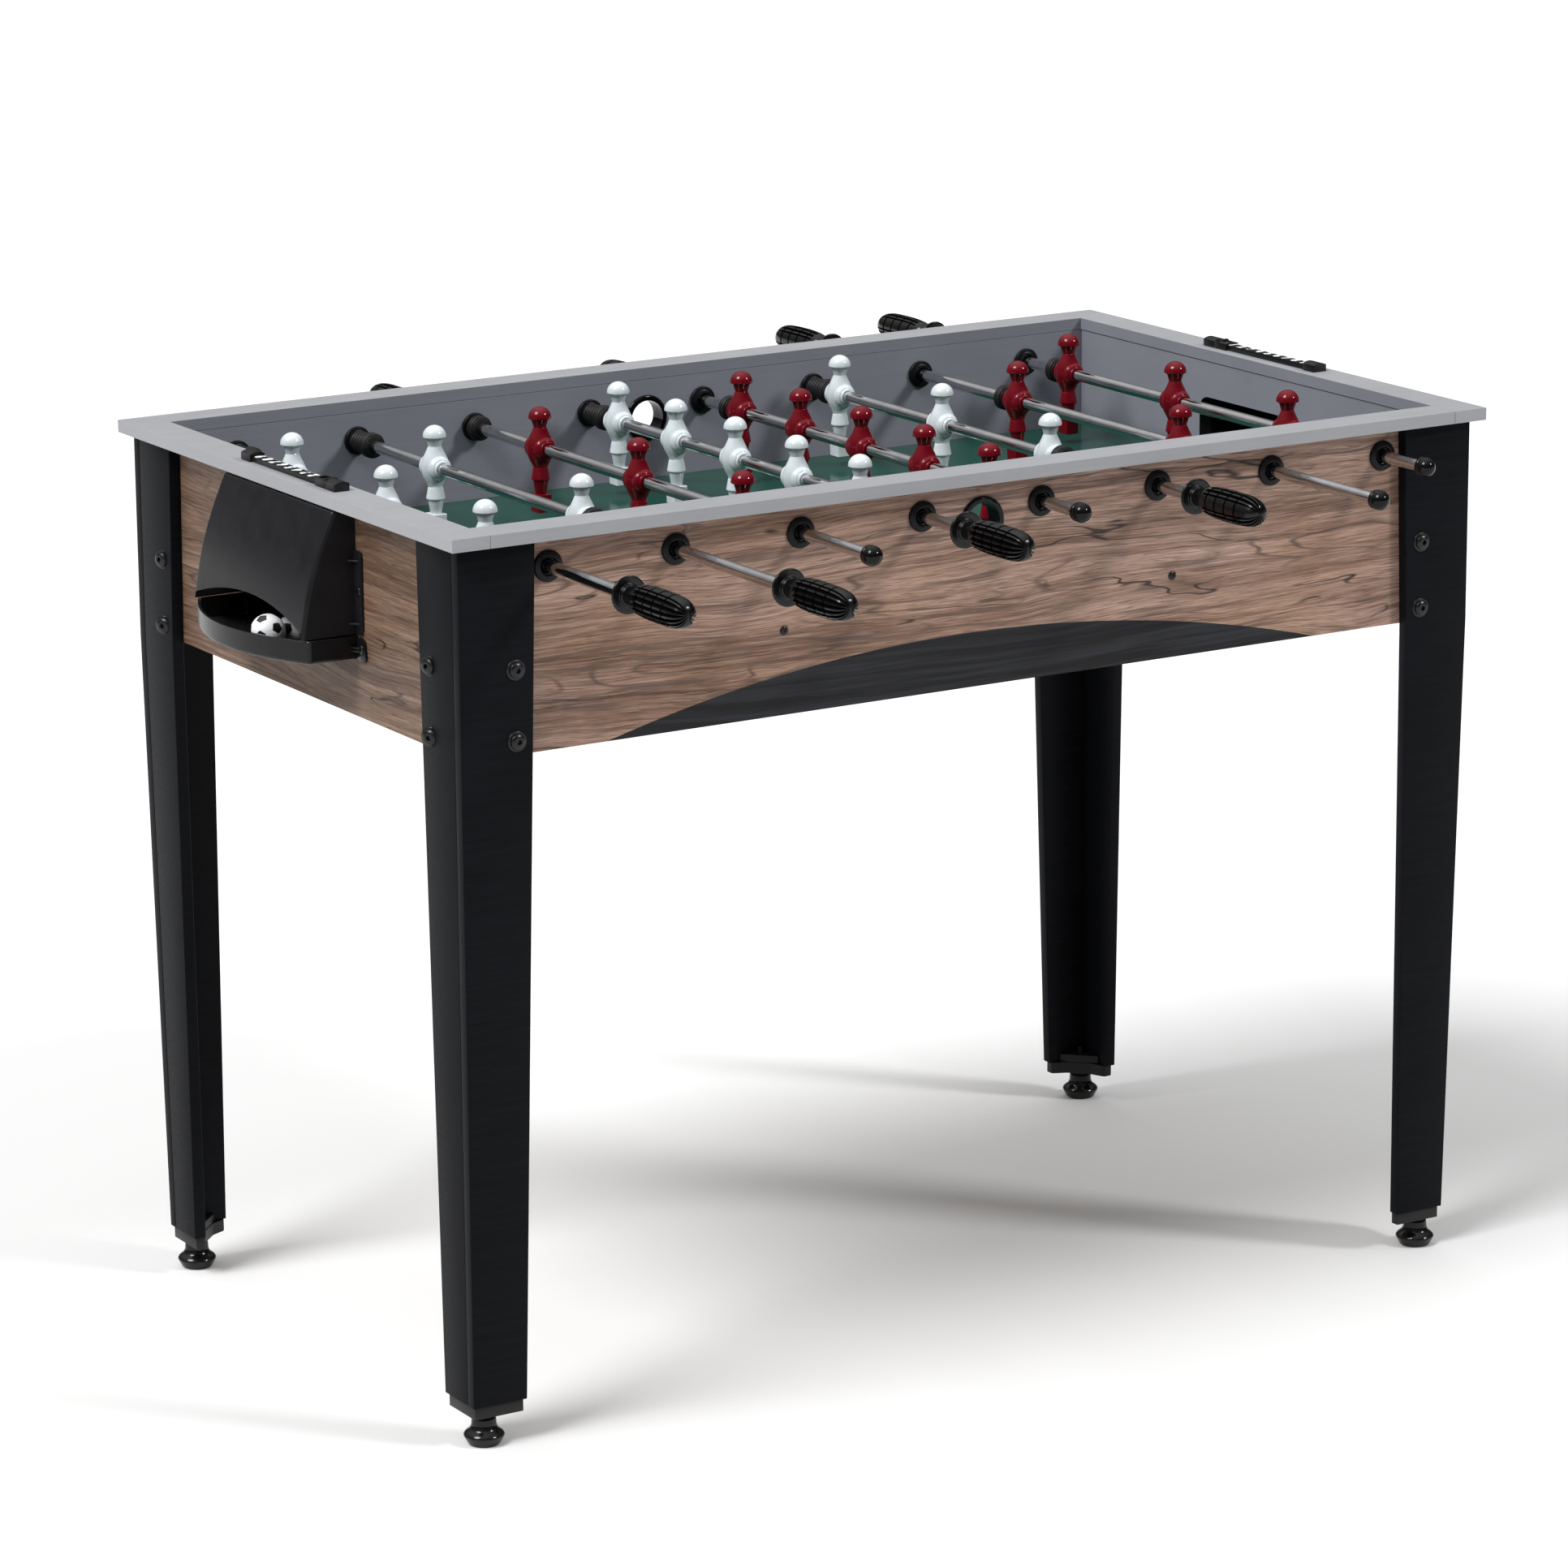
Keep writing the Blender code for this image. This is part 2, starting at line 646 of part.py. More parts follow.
def make_rods():
    figure = figure_mesh()
    team_colour = {"white": WHITE, "red": RED}
    for index, (kind, team, slid, handle_shift) in enumerate(RODS):
        number = index + 1
        x = rod_x(index)
        # Local +Z runs towards the handle: -Y for the white team and +Y for the red.
        turn = (math.pi / 2.0, 0.0, 0.0 if team == "white" else math.pi)
        handle_start = ROD_KINDS[kind]["handle_start"] + handle_shift
        rod = turned(f"rod_{number}", rod_profile(kind, handle_start), 10)
        for place_number, offset in enumerate(ROD_KINDS[kind]["figures"]):
            copy = bpy.data.objects.new(f"rod_{number}_figure_{place_number + 1}", figure)
            as_cutter(copy, (x, slid + offset, ROD_Z))
            join(rod, copy)
        place(rod, (team_colour[team], 0.15), (x, slid, ROD_Z), turn)

        handle = turned(f"handle_{number}", handle_profile(), 10)
        towards = -1.0 if team == "white" else 1.0
        place(handle, (BLACK, 0.3), (x, slid + towards * handle_start, ROD_Z), turn)

        bearing = turned(f"bearing_{number}", bearing_profile(team), 12, closed=True)
        outside = (x, -PANEL_OUT_Y, ROD_Z)
        place(bearing, (BLACK, 0.4), outside, (-math.pi / 2.0, 0.0, 0.0))


# ---------------------------------------------------------------- serve holes
def make_serve_cup(name, side):
    """The ring that lines a serve hole, with a flange on each face of the board."""
    profile = [
        (SERVE_BORE_RADIUS, BOARD + SERVE_FLANGE),
        (SERVE_FLANGE_RADIUS, BOARD + SERVE_FLANGE),
        (SERVE_FLANGE_RADIUS, BOARD + GAP),
        (SERVE_SLEEVE_RADIUS, BOARD + GAP),
        (SERVE_SLEEVE_RADIUS, -GAP),
        (SERVE_FLANGE_RADIUS, -GAP),
        (SERVE_FLANGE_RADIUS, -SERVE_FLANGE),
        (SERVE_BORE_RADIUS, -SERVE_FLANGE),
    ]
    cup = turned(name, profile, 16, closed=True)
    place(cup, (BLACK, 0.3), (0.0, side * PANEL_OUT_Y, SERVE_Z), (side * math.pi / 2.0, 0.0, 0.0))


# ---------------------------------------------------------------- ball returns
def hood_section(inset):
    """The hood seen from the side, as (reach out of the end panel, height)."""
    top = HOOD_TOP_Z - inset
    steps = 6
    points = []
    for step in range(steps + 1):
        share = step / steps
        reach = HOOD_TOP_REACH + (HOOD_BOTTOM_REACH - HOOD_TOP_REACH) * share
        reach += HOOD_BULGE * math.sin(math.pi * share) - inset
        points.append((reach, top + (HOOD_SIDE_BOTTOM_Z - top) * share))
    return points


def make_hood(name, side):
    """The ball return's cover: a shell open at the back and below, with an arched front edge."""
    outer = [(GAP, HOOD_TOP_Z)] + hood_section(0.0)
    outer.append((GAP, HOOD_SIDE_BOTTOM_Z))
    inner = [(-0.01, HOOD_TOP_Z - HOOD_WALL)] + hood_section(HOOD_WALL)
    inner.append((inner[-1][0], HOOD_SIDE_BOTTOM_Z - 0.01))
    inner.append((-0.01, HOOD_SIDE_BOTTOM_Z - 0.01))
    turn = (math.pi / 2.0, 0.0, math.pi if side < 0 else 0.0)
    face = (side * PANEL_OUT_X, 0.0, 0.0)
    half = HOOD_HALF_WIDTH
    hood = outline(name, outer, -half, half)
    cavity = outline(f"{name}_cavity", inner, -half + HOOD_WALL, half - HOOD_WALL)
    as_cutter(cavity, face, turn)
    for end in (-1, 1):
        low_y, high_y = sorted((end * (half - LAP), end * (half + FLANGE_WIDTH)))
        flange = block(
            f"{name}_flange_{'front' if end < 0 else 'back'}",
            (min(side * GAP, side * (GAP + HOOD_WALL)), low_y, HOOD_SIDE_BOTTOM_Z + LAP),
            (max(side * GAP, side * (GAP + HOOD_WALL)), high_y, FLANGE_TOP_Z),
        )
        as_cutter(flange, face)
        join(hood, flange)
    cut(hood, cavity)
    arch_width = half - HOOD_WALL
    arch = [(-arch_width, HOOD_SIDE_BOTTOM_Z - 0.01), (arch_width, HOOD_SIDE_BOTTOM_Z - 0.01)]
    steps = 8
    for step in range(steps + 1):
        y = arch_width - 2.0 * arch_width * step / steps
        rise = HOOD_ARCH_RISE * (1.0 - (y / arch_width) ** 2)
        arch.append((y, HOOD_FRONT_BOTTOM_Z + rise))
    opening = outline(f"{name}_arch", arch, 0.03, 0.09)
    across = (math.pi / 2.0, 0.0, side * math.pi / 2.0)
    as_cutter(opening, face, across)
    cut(hood, opening)
    return place(hood, (BLACK, 0.35), face, turn)


def tray_outline(inset, back):
    """The tray in plan, as (reach, y): straight sides and a front that bows out."""
    half = TRAY_HALF_WIDTH - inset
    steps = 10
    points = [(back, -half)]
    for step in range(steps + 1):
        y = -half + 2.0 * half * step / steps
        bow = (TRAY_NOSE_REACH - TRAY_SIDE_REACH) * (1.0 - (y / half) ** 2)
        points.append((TRAY_SIDE_REACH + bow - inset, y))
    points.append((back, half))
    return points


def make_tray(name, side):
    """The ball tray: a floor with a low wall round it, screwed on by a flange at each side."""
    floor_bottom = TRAY_FLOOR_Z - TRAY_WALL
    outer = [(side * x, y) for x, y in tray_outline(0.0, GAP)]
    inner = [(side * x, y) for x, y in tray_outline(TRAY_WALL, GAP + TRAY_WALL)]
    face = (side * PANEL_OUT_X, 0.0, 0.0)
    tray = outline(name, outer, floor_bottom, TRAY_RIM_Z)
    for end in (-1, 1):
        start = end * (TRAY_HALF_WIDTH - LAP)
        low_y, high_y = sorted((start, end * (TRAY_HALF_WIDTH + FLANGE_WIDTH)))
        flange = block(
            f"{name}_flange_{'front' if end < 0 else 'back'}",
            (min(side * GAP, side * (GAP + TRAY_WALL)), low_y, TRAY_FLANGE_BOTTOM_Z),
            (max(side * GAP, side * (GAP + TRAY_WALL)), high_y, TRAY_RIM_Z),
        )
        as_cutter(flange, face)
        join(tray, flange)
    hollow = outline(f"{name}_hollow", inner, TRAY_FLOOR_Z, TRAY_RIM_Z + 0.01)
    as_cutter(hollow, face)
    cut(tray, hollow)
    return place(tray, (BLACK, 0.35), face)


def make_balls():
    for number, (x, y) in enumerate(BALL_PLACES, start=1):
        name = f"game_ball_{number}"
        mesh = bpy.data.meshes.new(name)
        shape = bmesh.new()
        bmesh.ops.create_uvsphere(shape, u_segments=12, v_segments=8, radius=BALL_RADIUS)
        shape.to_mesh(mesh)
        shape.free()
        mesh.shade_smooth()
        ball = bpy.data.objects.new(name, mesh)
        place(ball, (WHITE, 0.25), (x, y, TRAY_FLOOR_Z + BALL_RADIUS + GAP))


# ---------------------------------------------------------------- scorers
def make_scorer(end_name, side):
    """A number bar between two end blocks on an end rail, and the slider that rides it."""
    x = side * (TABLE_LENGTH - RAIL_WIDTH) / 2.0
    base = TABLE_HEIGHT + GAP
    half_bar = SCORE_BAR_WIDTH / 2.0
    half_block = SCORE_BLOCK_WIDTH / 2.0
    name = f"score_bar_{end_name}"
    bar = block(
        name,
        (-half_bar, -SCORE_HALF_LENGTH + LAP, 0.0),
        (half_bar, SCORE_HALF_LENGTH - LAP, SCORE_BAR_HEIGHT),
    )
    for end in (-1, 1):
        inner = end * (SCORE_HALF_LENGTH - SCORE_BLOCK_LENGTH)
        low_y, high_y = sorted((inner, end * SCORE_HALF_LENGTH))
        end_block = block(
            f"{name}_block_{'front' if end < 0 else 'back'}",
            (-half_block, low_y, 0.0),
            (half_block, high_y, SCORE_BLOCK_HEIGHT),
        )
        as_cutter(end_block, (x, 0.0, base))
        join(bar, end_block)
    place(bar, (BLACK, 0.4), (x, 0.0, base))

    # The slider waits at the zero end, which is the front on the left and the back on the right.
    start = side * (SCORE_HALF_LENGTH - SCORE_BLOCK_LENGTH - SCORE_SLIDER_LENGTH / 2.0 - GAP)
    half_slider = SCORE_SLIDER_LENGTH / 2.0
    slider = block(
        f"score_slider_{end_name}",
        (-half_block, -half_slider, GAP),
        (half_block, half_slider, SCORE_BLOCK_HEIGHT - 0.0005),
    )
    groove = block(
        f"score_slider_{end_name}_groove",
        (-half_bar - GAP, -SCORE_SLIDER_LENGTH, -0.01),
        (half_bar + GAP, SCORE_SLIDER_LENGTH, SCORE_BAR_HEIGHT + GAP),
    )
    as_cutter(groove, (x, start, base))
    cut(slider, groove)
    place(slider, (BLACK, 0.4), (x, start, base))


make_side_panel("side_panel_front", -1)
make_side_panel("side_panel_back", 1)
make_end_panel("end_panel_left", -1)
make_end_panel("end_panel_right", 1)
make_playfield()
make_field_support("field_support_left", -SUPPORT_X)
make_field_support("field_support_right", SUPPORT_X)
make_top_rails()
make_legs()
make_rods()
make_serve_cup("serve_cup_front", -1)
make_serve_cup("serve_cup_back", 1)
for end_name, end_side in (("left", -1), ("right", 1)):
    make_hood(f"return_hood_{end_name}", end_side)
    make_tray(f"return_tray_{end_name}", end_side)
    make_scorer(end_name, end_side)
make_balls()
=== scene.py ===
"""The looks of the football game table: its visible pieces, materials, studio and camera."""
import math

import bmesh
import bpy
from mathutils import Matrix, Vector


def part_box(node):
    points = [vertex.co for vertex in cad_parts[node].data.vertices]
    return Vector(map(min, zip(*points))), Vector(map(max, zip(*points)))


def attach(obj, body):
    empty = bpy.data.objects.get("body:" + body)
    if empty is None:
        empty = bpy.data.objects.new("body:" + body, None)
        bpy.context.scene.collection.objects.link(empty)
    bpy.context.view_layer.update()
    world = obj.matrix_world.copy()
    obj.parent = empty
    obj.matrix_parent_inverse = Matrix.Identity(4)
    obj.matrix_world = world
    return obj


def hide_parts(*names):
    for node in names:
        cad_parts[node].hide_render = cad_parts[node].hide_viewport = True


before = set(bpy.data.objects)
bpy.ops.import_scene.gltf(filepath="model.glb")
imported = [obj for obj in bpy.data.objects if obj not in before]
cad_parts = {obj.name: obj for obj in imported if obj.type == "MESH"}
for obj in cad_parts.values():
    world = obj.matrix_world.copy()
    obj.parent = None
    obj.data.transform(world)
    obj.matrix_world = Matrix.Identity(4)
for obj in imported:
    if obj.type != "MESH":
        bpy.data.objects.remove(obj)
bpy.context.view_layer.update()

# ---------------------------------------------------------------- sizes shared with the CAD
GAP = 0.0003
QUARTER = math.pi / 2.0
RAIL_LOW, RAIL_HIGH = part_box("top_rail_left")
CABINET_Y = (RAIL_LOW[1] + RAIL_HIGH[1]) / 2.0
PANEL_LOW, PANEL_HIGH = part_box("side_panel_front")
PANEL_OUT_X = PANEL_HIGH[0]
PANEL_OUT_Y = CABINET_Y - PANEL_LOW[1]
BOARD = PANEL_HIGH[1] - PANEL_LOW[1]
PANEL_IN_X = PANEL_OUT_X - BOARD
PANEL_IN_Y = PANEL_OUT_Y - BOARD
PANEL_BOTTOM_Z = PANEL_LOW[2]
PANEL_TOP_Z = PANEL_HIGH[2]
FIELD_TOP_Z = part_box("playfield")[1][2] + GAP

LEG_LOW, LEG_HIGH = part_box("leg_front_left")
LEG_HALF_X = -LEG_LOW[0]
LEG_HALF_Y = CABINET_Y - LEG_LOW[1]
LEG_BOARD = 0.0127
LEG_TOP_WIDTH = LEG_HIGH[0] - LEG_LOW[0]
LEG_FOOT_WIDTH = 0.0595
LEG_CANT_X = 0.0062
LEG_CANT_Y = 0.0130
LEG_BOTTOM_Z = LEG_LOW[2]
BOLT_INSET = 0.0605
BOLT_HEIGHTS = (0.7818, 0.7119)
FOOT_INSET_X = 0.0207
FOOT_INSET_Y = 0.0190

ROD_Z = 0.8755
ROD_PITCH = 0.1411
ROD_RADIUS = 0.00635
ROD_HOLE = 0.0118
BUMPER_RADIUS = 0.0135
BUMPER_LENGTH = 0.0120
SPACER_LENGTH = 0.0235
BEARING_NUT = 0.0050
NUT_FACE_Y = PANEL_IN_Y - BEARING_NUT
BOSS_HALF = 0.0172
CAP_TIP_OFFSET = 0.3720
CAP_LENGTH = 0.0175
CAP_RADIUS = 0.0102
HANDLE_LENGTH = 0.1105
ROD_KINDS = {
    "two": {"figures": (-0.1535, 0.1535), "handle_start": 0.5437},
    "three": {"figures": (-0.2060, 0.0, 0.2060), "handle_start": 0.4744},
    "five": {"figures": (-0.2430, -0.1215, 0.0, 0.1215, 0.2430), "handle_start": 0.4356},
}
RODS = (
    ("three", "white", -0.0112, 0.0070),
    ("two", "white", -0.0038, 0.0),
    ("three", "red", -0.0257, -0.0090),
    ("five", "white", 0.0181, 0.0),
    ("five", "red", -0.0027, -0.0050),
    ("three", "white", 0.0604, -0.0075),
    ("two", "red", -0.0258, -0.0085),
    ("three", "red", 0.0315, 0.0060),
)
# How far each handle has come to rest, turned about its rod, in degrees.
HANDLE_TURNS = (90.0, 86.0, 30.0, 94.0, 60.0, -10.0, 12.0, 24.0)

SERVE_Z = 0.8625
SERVE_HOLE = 0.0225
GOAL_HALF_WIDTH = 0.0925
GOAL_TOP_Z = 0.8650
GOAL_CORNER = 0.0130
SUPPORT_X = 0.2310
PANEL_SCREW_Z = 0.7800
HOOD_HALF_WIDTH = 0.1195
HOOD_WALL = 0.0025
HOOD_TOP_Z = PANEL_TOP_Z - 0.0012
HOOD_BOTTOM_Z = 0.7790
HOOD_FRONT_BOTTOM_Z = 0.7855
HOOD_ARCH_RISE = 0.0190
HOOD_TOP_REACH = 0.0240
HOOD_BOTTOM_REACH = 0.0615
HOOD_BULGE = 0.0060
HOOD_ROUND = 0.0040
FLANGE_TOP_Z = 0.8630
TRAY_HALF_WIDTH = 0.1225
TRAY_WALL = 0.0024
TRAY_RIM_Z = 0.7775
TRAY_FLOOR_Z = 0.7559
TRAY_UNDER = 0.0018
TRAY_FILLET = 0.0048
TRAY_SIDE_REACH = 0.0550
TRAY_NOSE_REACH = 0.0900
FLANGE_REACH = 0.0150
FLANGE_THICKNESS = 0.0026
FLANGE_SCREW_OUT = 0.0090
HOOD_SCREW_Z = 0.8230
TRAY_SCREW_Z = 0.7655
SCORE_HALF_LENGTH = 0.1020
SCORE_BLOCK_LENGTH = 0.0200
SCORE_BAR_HEIGHT = 0.0060
DIGIT_SIZE = 0.0145
WINDOW_CORNERS = ((-0.0055, 0), (0.0055, 0), (0.0055, 1), (-0.0055, 1))
DIGIT_BOLDNESS = 0.00085

# The black print's arc on the long boards: its middle and radius.
ARCH_X = -0.0110
ARCH_RADIUS = 1.6105
ARCH_Z = 0.7510 - ARCH_RADIUS
# The grip's outline: (height above the flange's face, radius).
GRIP_OUTLINE = (
    (0.0160, 0.0095), (0.0185, 0.0106), (0.0210, 0.0122), (0.0230, 0.0133), (0.0300, 0.0146),
    (0.0370, 0.0154), (0.0480, 0.0160), (0.0570, 0.0162), (0.0790, 0.0160), (0.0890, 0.0156),
    (0.0950, 0.0149), (0.1000, 0.0139), (0.1040, 0.0125), (0.1072, 0.0105), (0.1092, 0.0080),
    (0.1101, 0.0052), (0.1105, 0.0),
)
GRIP_CUTS = (0.0375, 0.0538, 0.0700, 0.0865)
GRIP_RIBS = (36.5, 57.9, 79.3)
GROOVE_START, GROOVE_END, GROOVE_RAMP = 0.0285, 0.1120, 0.0020
GROOVE_DEPTH, CUT_DEPTH = 0.0040, 0.0030
# The studio: the sky's brightest direction, its least and most, and how fast it falls off.
SKY_TOWARDS = (-0.10, 0.15, 1.0)
SKY_FLOOR = 0.05
SKY_PEAK = 1.45
SKY_POWER = 2.6
# The camera, from the middle of the cabinet: metres and degrees.
CAMERA_AT = (-3.19989, -5.21581, 2.06626)
CAMERA_AZIMUTH = -31.0968
CAMERA_ELEVATION = 14.1408
CAMERA_ROLL = -0.4733
CAMERA_LENS = 137.455
CAMERA_SHIFT = (0.01471, -0.00163)


def rod_x(number):
    return (number - 4.5) * ROD_PITCH


# ---------------------------------------------------------------- materials
class Look:
    """A Principled material, built up node by node."""

    def __init__(self, name, colour, roughness, **inputs):
        self.material = bpy.data.materials.new(name)
        self.material.use_nodes = True
        self.tree = self.material.node_tree
        self.shader = self.tree.nodes["Principled BSDF"]
        self.shader.inputs["Base Color"].default_value = (*colour, 1.0)
        self.shader.inputs["Roughness"].default_value = roughness
        for key, value in inputs.items():
            self.shader.inputs[key.replace("_", " ")].default_value = value

    def node(self, kind, **values):
        """A new node: capitalised values fill or feed its sockets, the rest set its options."""
        made = self.tree.nodes.new("ShaderNode" + kind)
        for key, value in values.items():
            if not key[0].isupper():
                setattr(made, key, value)
        for key, value in values.items():
            if key[0].isupper():
                self.feed(made.inputs[key.replace("_", " ")], value)
        return made

    def feed(self, socket, value):
        if isinstance(value, bpy.types.NodeSocket):
            self.tree.links.new(value, socket)
        else:
            socket.default_value = value

    def place(self):
        """The point on the piece, in metres, in the table's own frame."""
        return self.node("TexCoord").outputs["Object"]

    def stretched(self, point, scale, turn=(0.0, 0.0, 0.0)):
        return self.node("Mapping", Vector=point, Scale=scale, Rotation=turn).outputs[0]

    def noise(self, point, scale, detail=4.0, rough=0.5):
        made = self.node("TexNoise", Vector=point, Scale=scale, Detail=detail, Roughness=rough)
        return made.outputs["Fac"]

    def math(self, operation, first, second=0.0):
        made = self.node("Math", operation=operation)
        self.feed(made.inputs[0], first)
        self.feed(made.inputs[1], second)
        return made.outputs[0]

    def times(self, first, second):
        return self.math("MULTIPLY", first, second)

    def plus(self, first, second):
        return self.math("ADD", first, second)

    def minus(self, first, second):
        return self.math("SUBTRACT", first, second)

    def spread(self, value, low, high, new_low=0.0, new_high=1.0):
        """Maps low..high to new_low..new_high, held at the ends."""
        made = self.node("MapRange", Value=value, From_Min=low, From_Max=high)
        made.inputs["To Min"].default_value = new_low
        made.inputs["To Max"].default_value = new_high
        return made.outputs[0]

    def ramp(self, value, *stops):
        """Colours along a value: stops are (position, colour)."""
        made = self.node("ValToRGB", Fac=value)
        elements = made.color_ramp.elements
        while len(elements) < len(stops):
            elements.new(0.5)
        for element, (position, colour) in zip(elements, stops):
            element.position = position
            element.color = (*colour, 1.0)
        return made.outputs["Color"]

    def mix(self, share, first, second, blend="MIX"):
        made = self.node("Mix", data_type="RGBA", blend_type=blend)
        self.feed(made.inputs[0], share)
        self.feed(made.inputs[6], first if not isinstance(first, tuple) else (*first, 1.0))
        self.feed(made.inputs[7], second if not isinstance(second, tuple) else (*second, 1.0))
        return made.outputs[2]

    def colour(self, value):
        self.tree.links.new(value, self.shader.inputs["Base Color"])

    def roughness(self, value):
        self.tree.links.new(value, self.shader.inputs["Roughness"])

    def bump(self, height, distance, strength=1.0):
        made = self.node("Bump", Height=height, Distance=distance, Strength=strength)
        self.tree.links.new(made.outputs[0], self.shader.inputs["Normal"])


def printed_oak(name, turn=0.0, arch=False, shade=None):
    """Oak-look laminate: bands, fibres, growth lines, cracks and knots, all running one way."""
    look = Look(name, (0.22, 0.145, 0.12), 0.5, Specular_IOR_Level=0.28)
    point = look.stretched(look.place(), (1.0, 1.0, 1.0), (0.0, 0.0, turn))
    # The grain wanders: the point is moved up and down by slow noise and round each knot.
    wander = look.noise(look.stretched(point, (1.3, 1.0, 4.0)), 1.7, 2.0, 0.4)
    ripple = look.noise(look.stretched(point, (13.0, 1.0, 22.0)), 1.0, 2.0)
    knots = look.node("TexVoronoi", Vector=look.stretched(point, (1.0, 1.0, 2.2)), Scale=2.7)
    near_knot = look.spread(knots.outputs["Distance"], 0.0, 0.30, 1.0, 0.0)
    push = look.plus(look.times(wander, 0.050), look.times(near_knot, 0.016))
    push = look.plus(push, look.times(ripple, 0.0045))
    shift = look.node("CombineXYZ", Z=push)
    moved = look.node("VectorMath", operation="ADD")
    look.feed(moved.inputs[0], point)
    look.feed(moved.inputs[1], shift.outputs[0])
    grain = moved.outputs[0]

    bands = look.noise(look.stretched(grain, (1.4, 6.0, 26.0)), 1.0, 3.0, 0.5)
    streaks = look.noise(look.stretched(grain, (3.6, 30.0, 170.0)), 1.0, 4.0, 0.6)
    strands = look.noise(look.stretched(grain, (11.0, 90.0, 560.0)), 1.0, 3.0, 0.6)
    fibres = look.noise(look.stretched(grain, (42.0, 300.0, 1500.0)), 1.0, 2.0, 0.6)
    patches = look.noise(look.stretched(point, (2.6, 1.0, 5.0)), 1.7, 2.0)
    tone = look.plus(look.times(bands, 0.36), look.times(streaks, 0.34))
    tone = look.plus(tone, look.times(strands, 0.30))
    colour = look.ramp(
        tone,
        (0.36, (0.120, 0.070, 0.051)),
        (0.44, (0.238, 0.148, 0.112)),
        (0.50, (0.345, 0.226, 0.176)),
        (0.57, (0.445, 0.304, 0.242)),
        (0.66, (0.590, 0.428, 0.352)),
    )
    warm = look.spread(patches, 0.38, 0.66, 0.0, 0.70)
    colour = look.mix(warm, colour, (0.84, 0.74, 0.58), "MULTIPLY")
    dark = look.spread(fibres, 0.36, 0.60, 0.55, 0.0)
    colour = look.mix(dark, colour, (0.34, 0.27, 0.24), "MULTIPLY")
    colour = look.mix(look.spread(fibres, 0.60, 0.76, 0.0, 0.35), colour, (0.46, 0.37, 0.32))
    ticks = look.noise(look.stretched(grain, (34.0, 300.0, 900.0)), 1.0, 1.0)
    colour = look.mix(look.spread(ticks, 0.62, 0.70, 0.0, 0.55), colour, (0.050, 0.032, 0.025))
    # Pores, growth lines and cracks are thin level lines of slow noises, broken up by masks.
    pores = look.noise(look.stretched(grain, (2.4, 20.0, 78.0)), 1.0, 3.0, 0.55)
    off_pore = look.math("ABSOLUTE", look.minus(pores, 0.5))
    pore_line = look.spread(off_pore, 0.004, 0.040, 0.80, 0.0)
    pore_mask = look.noise(look.stretched(grain, (9.0, 8.0, 40.0)), 1.0, 2.0)
    pore_mask = look.spread(pore_mask, 0.38, 0.56)
    colour = look.mix(look.times(pore_line, pore_mask), colour, (0.110, 0.068, 0.052))
    rings = look.noise(look.stretched(grain, (1.6, 3.0, 15.0)), 1.0, 2.0, 0.4)
    level = look.math("FRACT", look.times(rings, 17.0))
    off_line = look.math("ABSOLUTE", look.minus(level, 0.5))
    rings_mask = look.noise(look.stretched(grain, (4.0, 1.0, 12.0)), 1.0, 3.0)
    rings_mask = look.spread(rings_mask, 0.43, 0.56)
    growth = look.times(look.spread(off_line, 0.02, 0.12, 0.85, 0.0), rings_mask)
    colour = look.mix(growth, colour, (0.095, 0.060, 0.047))
    lines = look.noise(look.stretched(grain, (2.6, 3.0, 17.0)), 1.0, 3.5, 0.5)
    ridge = look.math("ABSOLUTE", look.minus(lines, 0.5))
    mask = look.spread(look.noise(look.stretched(grain, (7.0, 1.0, 20.0)), 1.0, 3.0), 0.50, 0.58)
    crack = look.times(look.spread(ridge, 0.0015, 0.0070, 1.0, 0.0), mask)
    colour = look.mix(look.times(crack, 0.92), colour, (0.020, 0.013, 0.010))
    heart = look.spread(knots.outputs["Distance"], 0.010, 0.060, 0.85, 0.0)
    chance = look.node("SeparateColor", Color=knots.outputs["Color"]).outputs[0]
    few = look.math("GREATER_THAN", chance, 0.85)
    colour = look.mix(look.times(heart, few), colour, (0.045, 0.028, 0.020))
    # A darker copy of the same oak, multiplied down by shade: painted shade.
    if shade:
        colour = look.mix(1.0, colour, shade, "MULTIPLY")
    if arch:
        # The black print below a long low arc, on the long boards only.
        axes = look.node("SeparateXYZ", Vector=look.place())
        off_x = look.minus(axes.outputs["X"], ARCH_X)
        off_z = look.minus(axes.outputs["Z"], ARCH_Z)
        squared = look.plus(look.times(off_x, off_x), look.times(off_z, off_z))
        inside = look.math("LESS_THAN", look.math("SQRT", squared), ARCH_RADIUS)
        black, grey = (0.0022, 0.0025, 0.0034), (0.0150, 0.0158, 0.0205)
        faint = look.ramp(streaks, (0.40, black), (0.62, grey))
        colour = look.mix(inside, colour, faint)
    look.colour(colour)
    look.roughness(look.spread(streaks, 0.3, 0.7, 0.60, 0.44))
    height = look.minus(look.times(fibres, 0.6), look.times(crack, 0.9))
    height = look.plus(height, look.times(strands, 0.5))
    look.bump(height, 0.0004, 0.55)
    return look.material


def laminate(name, low, high, roughness, grain, gloss):
    """Plain printed laminate: a slow mottling, a faint orange-peel and a trace of grain."""
    look = Look(name, low, roughness, Specular_IOR_Level=gloss)
    point = look.place()
    slow = look.noise(point, 7.0, 3.0)
    fine = look.noise(look.stretched(point, (14.0, 300.0, 300.0)), 1.0, 3.0)
    tone = look.plus(look.times(slow, 1.0 - grain), look.times(fine, grain))
    look.colour(look.ramp(tone, (0.35, low), (0.65, high)))
    look.roughness(look.spread(fine, 0.3, 0.7, roughness - 0.05, roughness + 0.06))
    look.bump(look.noise(point, 1400.0, 2.0), 0.00006, 0.35)
    return look.material


